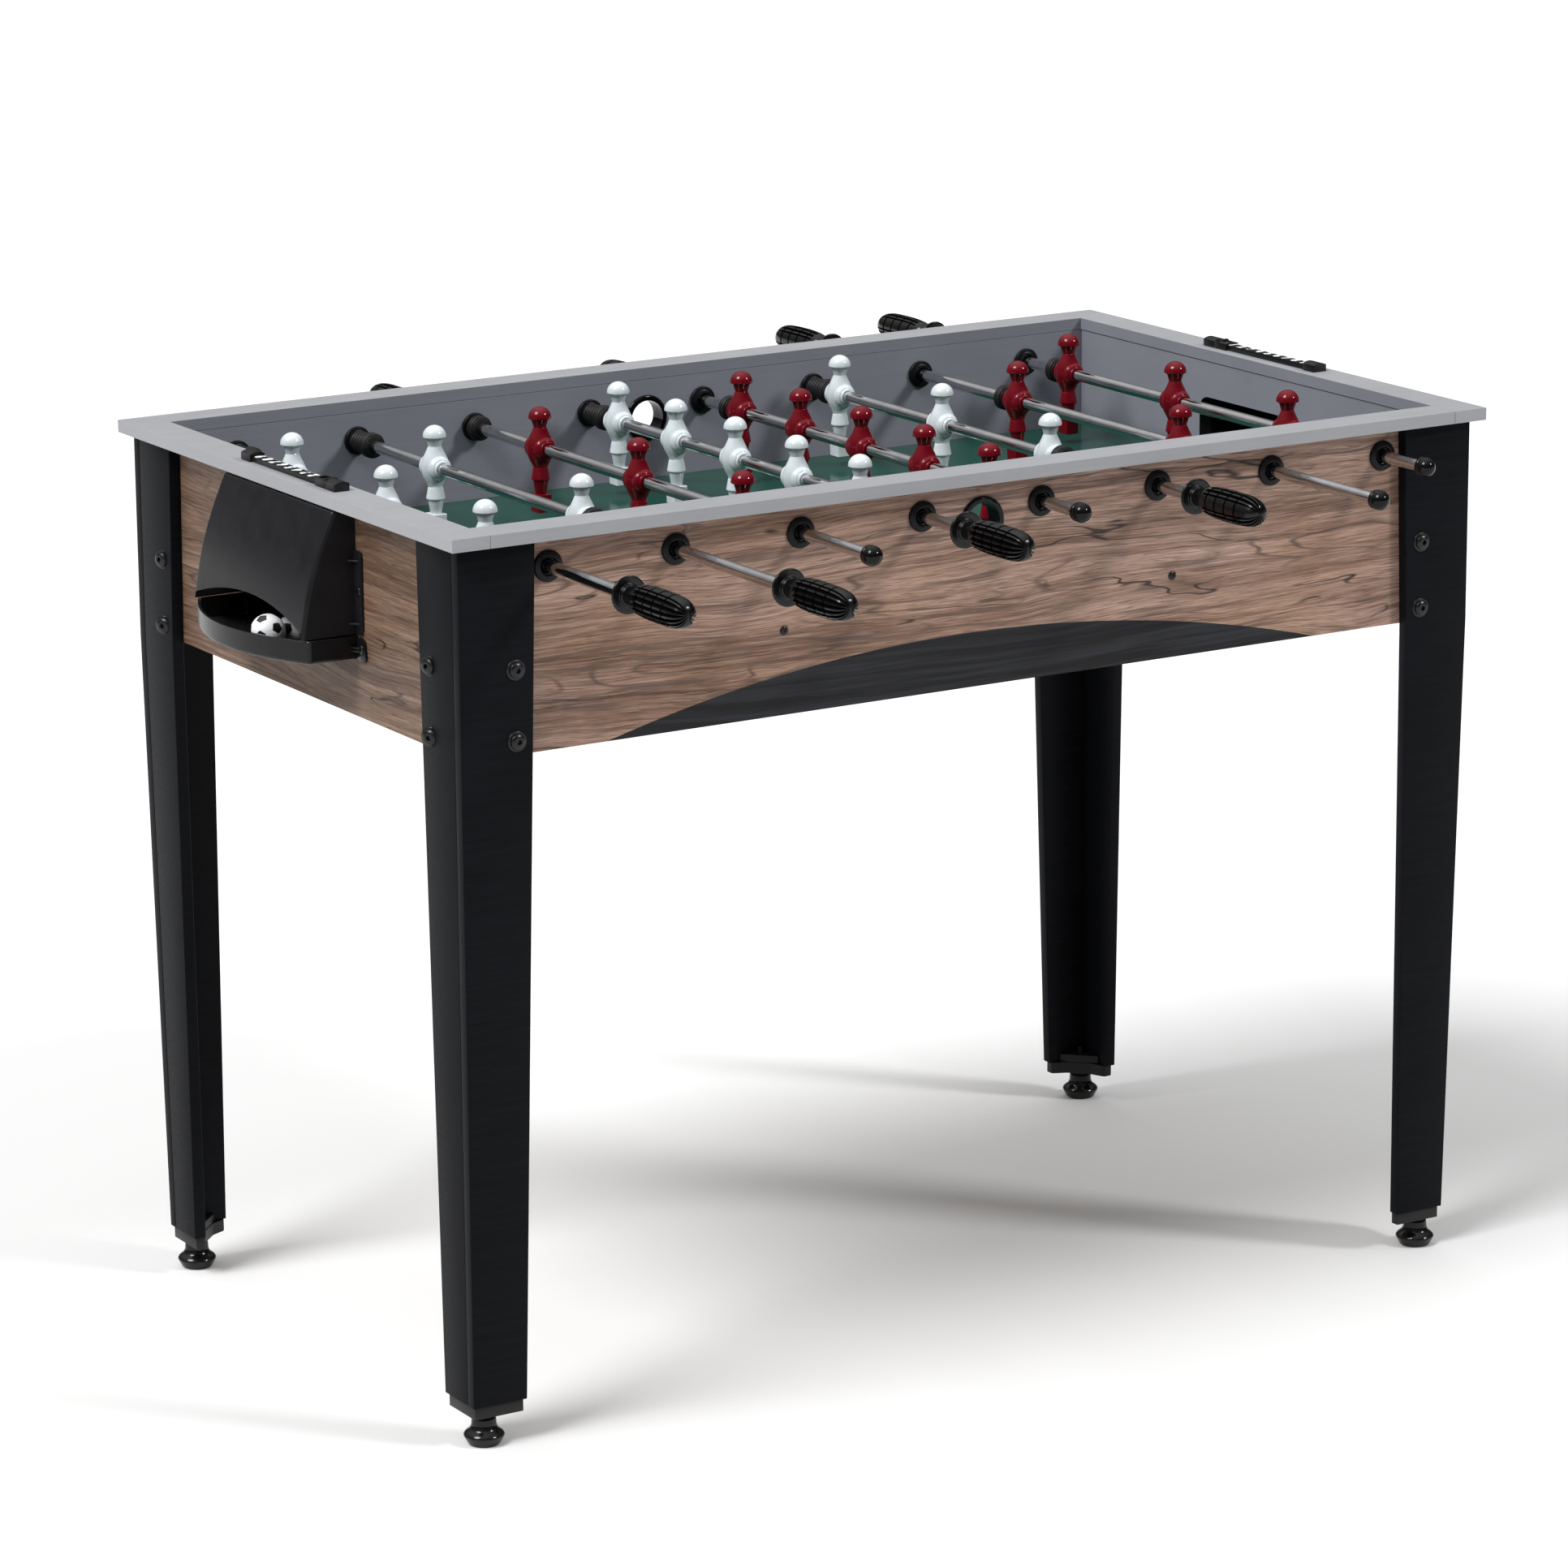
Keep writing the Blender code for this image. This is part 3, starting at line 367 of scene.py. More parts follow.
def plastic(name, colour, roughness, gloss=0.5, texture=0.0, texture_scale=2600.0):
    """Moulded plastic, with a spark-eroded grain where texture is above zero."""
    look = Look(name, colour, roughness, Specular_IOR_Level=gloss)
    point = look.place()
    slow = look.noise(point, 45.0, 3.0)
    darker = tuple(channel * 0.86 for channel in colour)
    lighter = tuple(min(1.0, channel * 1.10) for channel in colour)
    look.colour(look.ramp(slow, (0.3, darker), (0.7, lighter)))
    look.roughness(look.spread(slow, 0.3, 0.7, max(0.03, roughness - 0.03), roughness + 0.04))
    if texture:
        look.bump(look.noise(point, texture_scale, 2.0), 0.00012, texture)
    return look.material


def chrome(name):
    """Plated tube: bright, with a faint drawn haze along the rod (its Z)."""
    look = Look(name, (0.72, 0.73, 0.75), 0.12, Metallic=1.0)
    point = look.place()
    drawn = look.noise(look.stretched(point, (900.0, 900.0, 16.0)), 1.0, 3.0)
    haze = look.noise(point, 60.0, 3.0)
    look.colour(look.ramp(haze, (0.3, (0.60, 0.60, 0.61)), (0.7, (0.70, 0.70, 0.71))))
    look.roughness(look.spread(drawn, 0.3, 0.75, 0.05, 0.15))
    look.bump(drawn, 0.00003, 0.25)
    return look.material


def rubber(name):
    look = Look(name, (0.006, 0.006, 0.006), 0.50, Specular_IOR_Level=0.3)
    point = look.place()
    dust = look.noise(point, 300.0, 4.0)
    look.colour(look.ramp(dust, (0.35, (0.0035, 0.0035, 0.0038)), (0.75, (0.0110, 0.0105, 0.0100))))
    look.roughness(look.spread(dust, 0.3, 0.7, 0.42, 0.62))
    look.bump(look.noise(point, 1800.0, 2.0), 0.00008, 0.4)
    return look.material


def fibreboard(name):
    look = Look(name, (0.26, 0.17, 0.10), 0.85)
    point = look.place()
    chips = look.noise(point, 420.0, 4.0)
    slow = look.noise(point, 9.0, 2.0)
    tone = look.plus(look.times(chips, 0.7), look.times(slow, 0.3))
    look.colour(look.ramp(tone, (0.35, (0.17, 0.105, 0.058)), (0.65, (0.34, 0.235, 0.145))))
    look.bump(chips, 0.0002, 0.5)
    return look.material


OAK_SIDE = printed_oak("oak_long", arch=True)
# The end boards: the oak turned across and a little yellowed, and darkened as painted shade for boards that the
# left lamp lights harder.
OAK_END_PAINTED_SHADE = printed_oak("oak_across_painted_shade", turn=QUARTER, shade=(0.55, 0.535, 0.485))
# The boards' undersides and edge faces: the oak darkened to 0.55, painted shade.
OAK_EDGE_PAINTED_SHADE = printed_oak("oak_edge_painted_shade", shade=(0.55, 0.55, 0.55))
WALL_GREY = laminate("wall_grey", (0.205, 0.209, 0.245), (0.232, 0.237, 0.274), 0.42, 0.3, 0.3)
RAIL_GREY = laminate("rail_grey", (0.275, 0.279, 0.293), (0.305, 0.309, 0.324), 0.40, 0.35, 0.3)
FIELD_GREEN = laminate("field_green", (0.0028, 0.043, 0.028), (0.0042, 0.053, 0.035), 0.12, 0.2, 0.28)
LEG_BLACK = laminate("leg_black", (0.0036, 0.0040, 0.0052), (0.0062, 0.0068, 0.0086), 0.42, 0.6, 0.05)
RAW_BOARD = fibreboard("raw_fibreboard")
CHROME = chrome("rod_chrome")
WHITE_PLASTIC = plastic("figure_white", (0.60, 0.655, 0.68), 0.10, 0.6)
RED_PLASTIC = plastic("figure_red", (0.125, 0.0022, 0.0075), 0.06, 0.24)
HANDLE_BLACK = plastic("handle_black", (0.0032, 0.0032, 0.0036), 0.21, 0.32, 0.15)
# Groove floors: rougher than the grip, and darker as painted shade in the deep grooves.
HANDLE_GROOVE_SHADE = plastic("handle_groove_painted_shade", (0.0010, 0.0010, 0.0011), 0.60, 0.04, 0.2)
CAP_BLACK = plastic("cap_black", (0.0030, 0.0030, 0.0033), 0.05, 0.20)
BEARING_BLACK = plastic("bearing_black", (0.0045, 0.0048, 0.0056), 0.36, 0.16, 0.2)
HOOD_BLACK = plastic("hood_black", (0.0082, 0.0082, 0.0097), 0.34, 0.20, 0.55, 1900.0)
TRAY_BLACK = plastic("tray_black", (0.0050, 0.0052, 0.0060), 0.26, 0.25, 0.35, 1900.0)
FOOT_BLACK = plastic("foot_black", (0.0040, 0.0040, 0.0045), 0.15, 0.3)
PLUG_BLACK = plastic("plug_black", (0.0070, 0.0068, 0.0072), 0.40, 0.3, 0.6, 900.0)
BOLT_BLACK = plastic("bolt_black", (0.0050, 0.0050, 0.0056), 0.30, 0.35, 0.15)
SCORE_BLACK = plastic("score_black", (0.0055, 0.0055, 0.0060), 0.34, 0.3, 0.2)
DIGIT_WHITE = plastic("digit_white", (0.80, 0.81, 0.82), 0.45)
BALL_WHITE = plastic("ball_white", (0.80, 0.81, 0.83), 0.18)
BALL_BLACK = plastic("ball_black", (0.010, 0.010, 0.011), 0.22)
RUBBER = rubber("bumper_rubber")


# ---------------------------------------------------------------- mesh helpers
def finished(shape, name, materials, angle=30.0, smooth=True):
    """Turns a bmesh into a mesh with outward faces, smooth between edges flatter than angle."""
    bmesh.ops.recalc_face_normals(shape, faces=shape.faces)
    mesh = bpy.data.meshes.new(name)
    shape.to_mesh(mesh)
    shape.free()
    for material in materials:
        mesh.materials.append(material)
    if smooth:
        mesh.shade_smooth()
        mesh.set_sharp_from_angle(angle=math.radians(angle))
    return mesh


def put(name, mesh, body, stands_for=(), at=(0.0, 0.0, 0.0), turn=(0.0, 0.0, 0.0)):
    """Places a piece on a CAD body, in place of the CAD nodes that it stands for."""
    piece = bpy.data.objects.new(name, mesh)
    bpy.context.scene.collection.objects.link(piece)
    piece.location = at
    piece.rotation_euler = turn
    bpy.context.view_layer.update()
    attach(piece, body)
    if stands_for:
        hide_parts(*stands_for)
    return piece


def soften(points, radius, steps=3, closed=False):
    """Rounds every corner in a chain of 2-D points."""
    result = []
    count = len(points)
    for index, point in enumerate(points):
        if not closed and index in (0, count - 1):
            result.append(tuple(point))
            continue
        corner = Vector(point)
        back = Vector(points[index - 1]) - corner
        ahead = Vector(points[(index + 1) % count]) - corner
        start = corner + back.normalized() * min(radius, back.length * 0.45)
        end = corner + ahead.normalized() * min(radius, ahead.length * 0.45)
        for step in range(steps + 1):
            share = step / steps
            spot = start * (1 - share) ** 2 + corner * 2 * share * (1 - share) + end * share**2
            result.append(tuple(spot))
    return result


def lathe_into(shape, profile, steps, closed=False, matrix=None):
    """Adds a round shape about Z to a bmesh; profile is a chain of (radius, height)."""
    rings = []
    for radius, height in profile:
        if radius < 1e-6:
            rings.append([shape.verts.new((0.0, 0.0, height))])
            continue
        ring = []
        for step in range(steps):
            angle = math.tau * step / steps
            across, along = radius * math.cos(angle), radius * math.sin(angle)
            ring.append(shape.verts.new((across, along, height)))
        rings.append(ring)
    pairs = list(zip(rings, rings[1:]))
    if closed:
        pairs.append((rings[-1], rings[0]))
    for first, second in pairs:
        for step in range(steps):
            ahead = (step + 1) % steps
            corners = [
                first[step % len(first)],
                first[ahead % len(first)],
                second[ahead % len(second)],
                second[step % len(second)],
            ]
            shape.faces.new(list(dict.fromkeys(corners)))
    if matrix is not None:
        made = [vert for ring in rings for vert in ring]
        bmesh.ops.transform(shape, matrix=matrix, verts=made)
    return rings


def lathe(name, profile, steps, *materials, closed=False, angle=30.0):
    shape = bmesh.new()
    lathe_into(shape, profile, steps, closed)
    return finished(shape, name, materials, angle)


def round_edges(shape, edges, bevel, segments):
    return bmesh.ops.bevel(
        shape, geom=edges, offset=bevel, segments=segments, profile=0.5, affect="EDGES"
    )


def block_into(shape, low, high, bevel=0.0, segments=2):
    """Adds a box with rounded edges to a bmesh."""
    made = bmesh.ops.create_cube(shape, size=1.0)["verts"]
    size = [b - a for a, b in zip(low, high)]
    middle = [(a + b) / 2.0 for a, b in zip(low, high)]
    bmesh.ops.scale(shape, vec=size, verts=made)
    bmesh.ops.translate(shape, vec=middle, verts=made)
    if bevel:
        edges = list({edge for vert in made for edge in vert.link_edges})
        round_edges(shape, edges, bevel, segments)


def prism_into(shape, outline, low, high, bevel=0.0, segments=2, matrix=None):
    """Adds a raised outline in X-Y to a bmesh, its rims rounded."""
    bottom = [shape.verts.new((x, y, low)) for x, y in outline]
    top = [shape.verts.new((x, y, high)) for x, y in outline]
    count = len(outline)
    faces = [shape.faces.new(bottom), shape.faces.new(top)]
    for index in range(count):
        ahead = (index + 1) % count
        shape.faces.new((bottom[index], bottom[ahead], top[ahead], top[index]))
    verts = bottom + top
    if bevel:
        edges = list({edge for face in faces for edge in face.edges})
        made = round_edges(shape, edges, bevel, segments)
        verts = list(set(made["verts"]) | {vert for vert in verts if vert.is_valid})
    if matrix is not None:
        bmesh.ops.transform(shape, matrix=matrix, verts=verts)


def block(low, high, bevel=0.0, segments=2):
    shape = bmesh.new()
    block_into(shape, low, high, bevel, segments)
    return shape


def solid(name, shape):
    """A scratch object from a bmesh, for cutting with."""
    made = bpy.data.objects.new(name, finished(shape, name, (), smooth=False))
    bpy.context.scene.collection.objects.link(made)
    return made


def carved(name, body, cutters, materials, angle=30.0, smooth=True):
    """The mesh of a scratch object less its cutters; all of them are removed."""
    for cutter in cutters:
        modifier = body.modifiers.new(cutter.name, "BOOLEAN")
        modifier.operation = "DIFFERENCE"
        modifier.solver = "EXACT"
        modifier.object = cutter
    bpy.context.view_layer.update()
    depsgraph = bpy.context.evaluated_depsgraph_get()
    mesh = bpy.data.meshes.new_from_object(body.evaluated_get(depsgraph))
    mesh.name = name
    mesh.transform(body.matrix_world)
    for scratch in (body, *cutters):
        bpy.data.objects.remove(scratch, do_unlink=True)
    mesh.materials.clear()
    for material in materials:
        mesh.materials.append(material)
    if smooth:
        mesh.shade_smooth()
        mesh.set_sharp_from_angle(angle=math.radians(angle))
    return mesh


def round_cutter(name, radius, at, length, steps=48):
    """A round scratch solid along Y."""
    shape = bmesh.new()
    half = length / 2.0
    lathe_into(shape, [(0.0, half), (radius, half), (radius, -half), (0.0, -half)], steps)
    cutter = solid(name, shape)
    cutter.matrix_world = Matrix.Translation(at) @ Matrix.Rotation(QUARTER, 4, "X")
    return cutter


def paint_by_normal(mesh, rule):
    """Sets each face's material by rule(normal, centre)."""
    for face in mesh.polygons:
        face.material_index = rule(face.normal, face.center)


# ---------------------------------------------------------------- cabinet
def make_side_panels():
    for name, side in (("side_panel_front", -1), ("side_panel_back", 1)):
        low_y, high_y = sorted((CABINET_Y + side * PANEL_IN_Y, CABINET_Y + side * PANEL_OUT_Y))
        near, far = (-PANEL_OUT_X, low_y, PANEL_BOTTOM_Z), (PANEL_OUT_X, high_y, PANEL_TOP_Z)
        body = solid(name, block(near, far, 0.0003))
        middle = (low_y + high_y) / 2.0
        cutters = [
            round_cutter("rod_hole", ROD_HOLE, (rod_x(k), middle, ROD_Z), 0.05) for k in range(1, 9)
        ]
        at = (0.0, middle, SERVE_Z)
        cutters.append(round_cutter("serve_hole", SERVE_HOLE, at, 0.05, steps=64))
        mesh = carved(name, body, cutters, (OAK_SIDE, WALL_GREY, OAK_EDGE_PAINTED_SHADE, RAW_BOARD), smooth=False)

        def rule(normal, centre, side=side):
            if normal.y * side > 0.7:
                return 0
            if normal.y * side < -0.3 or centre.z > PANEL_TOP_Z - 0.001:
                return 1
            return 2 if abs(normal.z) > 0.9 and centre.z < PANEL_BOTTOM_Z + 0.002 else 3

        paint_by_normal(mesh, rule)
        put(name + "_board", mesh, "cabinet", (name,))


def make_end_panels():
    for name, side in (("end_panel_left", -1), ("end_panel_right", 1)):
        low_x, high_x = sorted((side * PANEL_IN_X, side * PANEL_OUT_X))
        half_y = PANEL_IN_Y - GAP
        shape = bmesh.new()
        block_into(
            shape,
            (low_x, CABINET_Y - half_y, PANEL_BOTTOM_Z),
            (high_x, CABINET_Y + half_y, PANEL_TOP_Z),
            0.0005,
        )
        body = solid(name, shape)
        mouth = [
            (-GOAL_HALF_WIDTH, FIELD_TOP_Z), (GOAL_HALF_WIDTH, FIELD_TOP_Z),
            (GOAL_HALF_WIDTH, GOAL_TOP_Z), (-GOAL_HALF_WIDTH, GOAL_TOP_Z),
        ]
        rounded = mouth[:2] + soften(mouth, GOAL_CORNER * 1.3, 8, True)[18:]
        cutter_shape = bmesh.new()
        upright = Matrix.Rotation(QUARTER, 4, "Z") @ Matrix.Rotation(QUARTER, 4, "X")
        prism_into(cutter_shape, rounded, -0.03, 0.03)
        cutter = solid("goal_cut", cutter_shape)
        at = (side * (PANEL_IN_X + PANEL_OUT_X) / 2.0, CABINET_Y, 0.0)
        cutter.matrix_world = Matrix.Translation(at) @ upright
        looks = (OAK_END_PAINTED_SHADE, WALL_GREY, OAK_EDGE_PAINTED_SHADE, BEARING_BLACK)
        mesh = carved(name, body, [cutter], looks, smooth=False)

        def rule(normal, centre, side=side):
            if normal.x * side > 0.7:
                return 0
            if normal.x * side < -0.3 or centre.z > PANEL_TOP_Z - 0.001:
                return 1
            in_width = abs(centre.y - CABINET_Y) < GOAL_HALF_WIDTH + 0.003
            inside = in_width and centre.z > FIELD_TOP_Z - 0.002
            return 3 if inside and centre.z < PANEL_TOP_Z - 0.01 else 2

        paint_by_normal(mesh, rule)
        put(name + "_board", mesh, "cabinet", (name,))


def make_playfield():
    low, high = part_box("playfield")
    shape = bmesh.new()
    block_into(shape, low, high, 0.0003, 1)
    mesh = finished(shape, "playfield_sheet", (FIELD_GREEN, RAW_BOARD), smooth=False)
    paint_by_normal(mesh, lambda normal, centre: 0 if normal.z > 0.5 else 1)
    put("playfield_sheet", mesh, "cabinet", ("playfield",))
    for end in ("left", "right"):
        low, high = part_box(f"field_support_{end}")
        shape = bmesh.new()
        block_into(shape, low, high, 0.0012)
        mesh = finished(shape, f"field_beam_{end}", (RAW_BOARD,))
        put(f"field_beam_{end}", mesh, "cabinet", (f"field_support_{end}",))


def make_top_rails():
    for end, inwards in (("front", (0, 1)), ("back", (0, -1)), ("left", (1, 0)), ("right", (-1, 0))):
        name = f"top_rail_{end}"
        low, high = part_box(name)
        shape = bmesh.new()
        block_into(shape, low, high, 0.0004, 3)
        mesh = finished(shape, name + "_cap", (RAIL_GREY, WALL_GREY), smooth=False)

        def rule(normal, centre, inwards=inwards):
            return 1 if normal.x * inwards[0] + normal.y * inwards[1] > 0.6 else 0

        paint_by_normal(mesh, rule)
        put(name + "_cap", mesh, "cabinet", (name,))


# ---------------------------------------------------------------- legs
def leg_board_mesh(name, along_x):
    """One tapered board of the -X -Y leg, with its outer corner at the origin."""
    shape = bmesh.new()
    if along_x:
        low, high = (0.0, 0.0, LEG_BOTTOM_Z), (LEG_TOP_WIDTH, LEG_BOARD, PANEL_TOP_Z)
    else:
        low, high = (0.0, LEG_BOARD + 0.0001, LEG_BOTTOM_Z), (LEG_BOARD, LEG_TOP_WIDTH, PANEL_TOP_Z)
    block_into(shape, low, high)
    bend = PANEL_BOTTOM_Z - 0.002
    geometry = shape.verts[:] + shape.edges[:] + shape.faces[:]
    bmesh.ops.bisect_plane(shape, geom=geometry, plane_co=(0, 0, bend), plane_no=(0, 0, 1))
    for vert in shape.verts:
        drop = (PANEL_TOP_Z - vert.co.z) / (PANEL_TOP_Z - LEG_BOTTOM_Z)
        cant = max(0.0, (bend - vert.co.z) / (bend - LEG_BOTTOM_Z))
        narrowing = drop * (LEG_TOP_WIDTH - LEG_FOOT_WIDTH)
        if along_x and vert.co.x > LEG_TOP_WIDTH / 2.0:
            vert.co.x -= narrowing
        if not along_x and vert.co.y > LEG_TOP_WIDTH / 2.0:
            vert.co.y -= narrowing
        vert.co.x += cant * LEG_CANT_X
        vert.co.y += cant * LEG_CANT_Y
    sharp = [edge for edge in shape.edges if edge.calc_face_angle(0.0) > 0.5]
    round_edges(shape, sharp, 0.0009, 3)
    return finished(shape, name, (LEG_BLACK,), 25.0)


def mirrored(mesh, name, side_x, side_y):
    """A pattern made for the -X -Y corner, mirrored into another."""
    copy = mesh.copy()
    copy.name = name
    shape = bmesh.new()
    shape.from_mesh(copy)
    bmesh.ops.scale(shape, vec=(-side_x, -side_y, 1.0), verts=shape.verts)
    if side_x * side_y < 0:
        bmesh.ops.reverse_faces(shape, faces=shape.faces)
    shape.to_mesh(copy)
    shape.free()
    return copy


def plug_mesh():
    """The moulded end block: a plate under the leg, ribs inside it and a boss for the foot."""
    near, far = 0.0027, LEG_FOOT_WIDTH - 0.0027
    thick = LEG_BOARD + 0.0005
    outline = soften(
        [(near, near), (far, near), (far, thick), (0.040, 0.0205), (0.0205, 0.040), (thick, far), (near, far)],
        0.0016,
        3,
        True,
    )
    shape = bmesh.new()
    prism_into(shape, outline, 0.0312, LEG_BOTTOM_Z - 0.0001, 0.0006, 2)
    boss = [(0.0052, 0.0437), (0.0124, 0.0437), (0.0124, 0.0300), (0.0118, 0.0292), (0.0052, 0.0292)]
    lathe_into(shape, boss, 48, True, Matrix.Translation((FOOT_INSET_X, FOOT_INSET_Y, 0.0)))
    near_x, near_y = LEG_BOARD + 0.0006, LEG_BOARD + 0.0007
    inner = soften([(near_x, near_y), (0.046, near_y), (near_x, 0.046)], 0.0015, 3, True)
    prism_into(shape, inner, LEG_BOTTOM_Z - 0.0002, LEG_BOTTOM_Z + 0.009, 0.0006, 2)
    return finished(shape, "end_block", (PLUG_BLACK,))


def foot_mesh():
    """A bell-shaped glide with a threaded stem."""
    profile = [(0.0, 0.0600), (0.0034, 0.0600)]
    turns = 14
    for turn in range(turns):
        height = 0.0590 - turn * (0.0590 - 0.0300) / turns
        profile += [(0.0040, height), (0.0034, height - 0.0010)]
    profile += soften(
        [
            (0.0034, 0.0287), (0.0112, 0.0287), (0.0122, 0.0270), (0.0126, 0.0200),
            (0.0146, 0.0160), (0.0190, 0.0125), (0.0207, 0.0100), (0.0198, 0.0078),
            (0.0160, 0.0008), (0.0150, 0.0), (0.0, 0.0),
        ],
        0.0012,
        3,
    )[1:]
    return lathe("glide", profile, 64, FOOT_BLACK, angle=40.0)


def bolt_mesh():
    """A socket button head, seen from +Z, standing on its washer at z = 0."""
    shape = bmesh.new()
    profile = soften(
        [(0.0, 0.0052), (0.0050, 0.0052), (0.0078, 0.0036), (0.0079, 0.0012), (0.0050, 0.0012), (0.0, 0.0012)],
        0.0009,
        3,
    )
    lathe_into(shape, profile, 48)
    head = solid("bolt_head", shape)
    shape = bmesh.new()
    turns = [math.tau * k / 6 for k in range(6)]
    hexagon = [(0.0029 * math.cos(turn), 0.0029 * math.sin(turn)) for turn in turns]
    prism_into(shape, hexagon, 0.0024, 0.0080)
    return carved("bolt_head", head, [solid("socket", shape)], (BOLT_BLACK,), 35.0)


def make_legs():
    boards = (leg_board_mesh("leg_long_board", True), leg_board_mesh("leg_side_board", False))
    plug, glide, bolt = plug_mesh(), foot_mesh(), bolt_mesh()
    washer = lathe(
        "washer",
        soften([(0.0042, 0.0014), (0.0095, 0.0014), (0.0103, 0.0007), (0.0103, 0.0), (0.0042, 0.0)], 0.0003, 2),
        48,
        BOLT_BLACK,
        closed=True,
    )
    for corner, side_x, side_y in (
        ("front_left", -1, -1),
        ("front_right", 1, -1),
        ("back_left", -1, 1),
        ("back_right", 1, 1),
    ):
        top = (side_x * LEG_HALF_X, CABINET_Y + side_y * LEG_HALF_Y, 0.0)
        for mesh in boards:
            name = f"{mesh.name}_{corner}"
            turned = mirrored(mesh, name, side_x, side_y)
            put(name, turned, "cabinet", (f"leg_{corner}",), top)
        out_x, out_y = LEG_HALF_X - LEG_CANT_X, LEG_HALF_Y - LEG_CANT_Y
        foot = (side_x * out_x, CABINET_Y + side_y * out_y, 0.0)
        name = f"end_block_{corner}"
        node = f"leg_end_block_{corner}"
        put(name, mirrored(plug, name, side_x, side_y), "cabinet", (node,), foot)
        at = (foot[0] - side_x * FOOT_INSET_X, foot[1] - side_y * FOOT_INSET_Y, 0.0)
        node = f"levelling_foot_{corner}"
        put(f"glide_{corner}", glide, f"foot_{corner}", (node,), at)
        for level, height in enumerate(BOLT_HEIGHTS, start=1):
            for face in ("long", "end"):
                if face == "long":
                    at = (side_x * (LEG_HALF_X - BOLT_INSET), CABINET_Y + side_y * LEG_HALF_Y, height)
                    turn = (-side_y * QUARTER, 0.3 * level, 0.0)
                else:
                    at = (side_x * LEG_HALF_X, CABINET_Y + side_y * (LEG_HALF_Y - BOLT_INSET), height)
                    turn = (0.3 * level, side_x * QUARTER, 0.0)
                label = f"{corner}_{face}_{level}"
                put(f"leg_washer_{label}", washer, "cabinet", (), at, turn)
                put(f"leg_bolt_{label}", bolt, "cabinet", (), at, turn)


# ---------------------------------------------------------------- rods
def figure_mesh(name, material):
    """A player: mushroom cap, neck, round body on the rod, flared skirt, shin and foot block."""
    shape = bmesh.new()
    head = [(0.0, 0.0440)]
    for step in range(1, 10):
        angle = QUARTER * step / 10
        head.append((0.0122 * math.sin(angle), 0.0326 + 0.0114 * math.cos(angle)))
    head += soften(
        [(0.0122, 0.0330), (0.0123, 0.0319), (0.0116, 0.0312), (0.0094, 0.0312), (0.0068, 0.0222)], 0.00035, 3
    )
    torso = []
    for height, radius in (
        (0.0210, 0.0074), (0.0180, 0.0089), (0.0140, 0.0109), (0.0095, 0.0130), (0.0050, 0.0146),
        (0.0010, 0.0152), (-0.0030, 0.0150), (-0.0070, 0.0140), (-0.0110, 0.0124),
        (-0.0150, 0.0103), (-0.0185, 0.0084),
    ):
        torso.append((radius, height))
    skirt = soften(
        [
            (0.0076, -0.0205), (0.0080, -0.0213), (0.0100, -0.0322), (0.0097, -0.0334),
            (0.0083, -0.0337), (0.0057, -0.0500), (0.0, -0.0500),
        ],
        0.0005,
        3,
    )
    rings = lathe_into(shape, head + torso + skirt, 40)
    # The body is a little flatter along the rod than across it.
    for ring in rings:
        for vert in ring:
            if -0.019 < vert.co.z < 0.0205:
                vert.co.y *= 0.90
    boss = soften(
        [
            (0.0066, -BOSS_HALF), (0.0084, -BOSS_HALF), (0.0086, -0.0150), (0.0100, -0.0150),
            (0.0126, -0.0118), (0.0126, 0.0118), (0.0100, 0.0150), (0.0086, 0.0150),
            (0.0084, BOSS_HALF), (0.0066, BOSS_HALF),
        ],
        0.0007,
        3,
    )
    lathe_into(shape, boss, 40, True, Matrix.Rotation(QUARTER, 4, "X"))
    foot = [(-0.0082, -0.0092), (0.0082, -0.0092), (0.0082, 0.0092), (-0.0082, 0.0092)]
    bottom = [(x * 0.94, y * 0.94) for x, y in foot]
    upper = soften(foot, 0.0012, 3, True)
    lower = soften(bottom, 0.0012, 3, True)
    levels = [(upper, -0.0485, 0.93), (upper, -0.0490, 1.0), (lower, -0.0674, 1.0), (lower, -0.0680, 0.93)]
    loops = []
    for points, height, share in levels:
        loops.append([shape.verts.new((x * share, y * share, height)) for x, y in points])
    for first, second in zip(loops, loops[1:]):
        for index in range(len(first)):
            ahead = (index + 1) % len(first)
            shape.faces.new((first[index], first[ahead], second[ahead], second[index]))
    shape.faces.new(loops[0])
    shape.faces.new(loops[-1])
    return finished(shape, name, (material,), 38.0)




def grip_outline(height):
    for (h0, r0), (h1, r1) in zip(GRIP_OUTLINE, GRIP_OUTLINE[1:]):
        if h0 <= height <= h1:
            return r0 + (r1 - r0) * (height - h0) / (h1 - h0)
    return 0.0


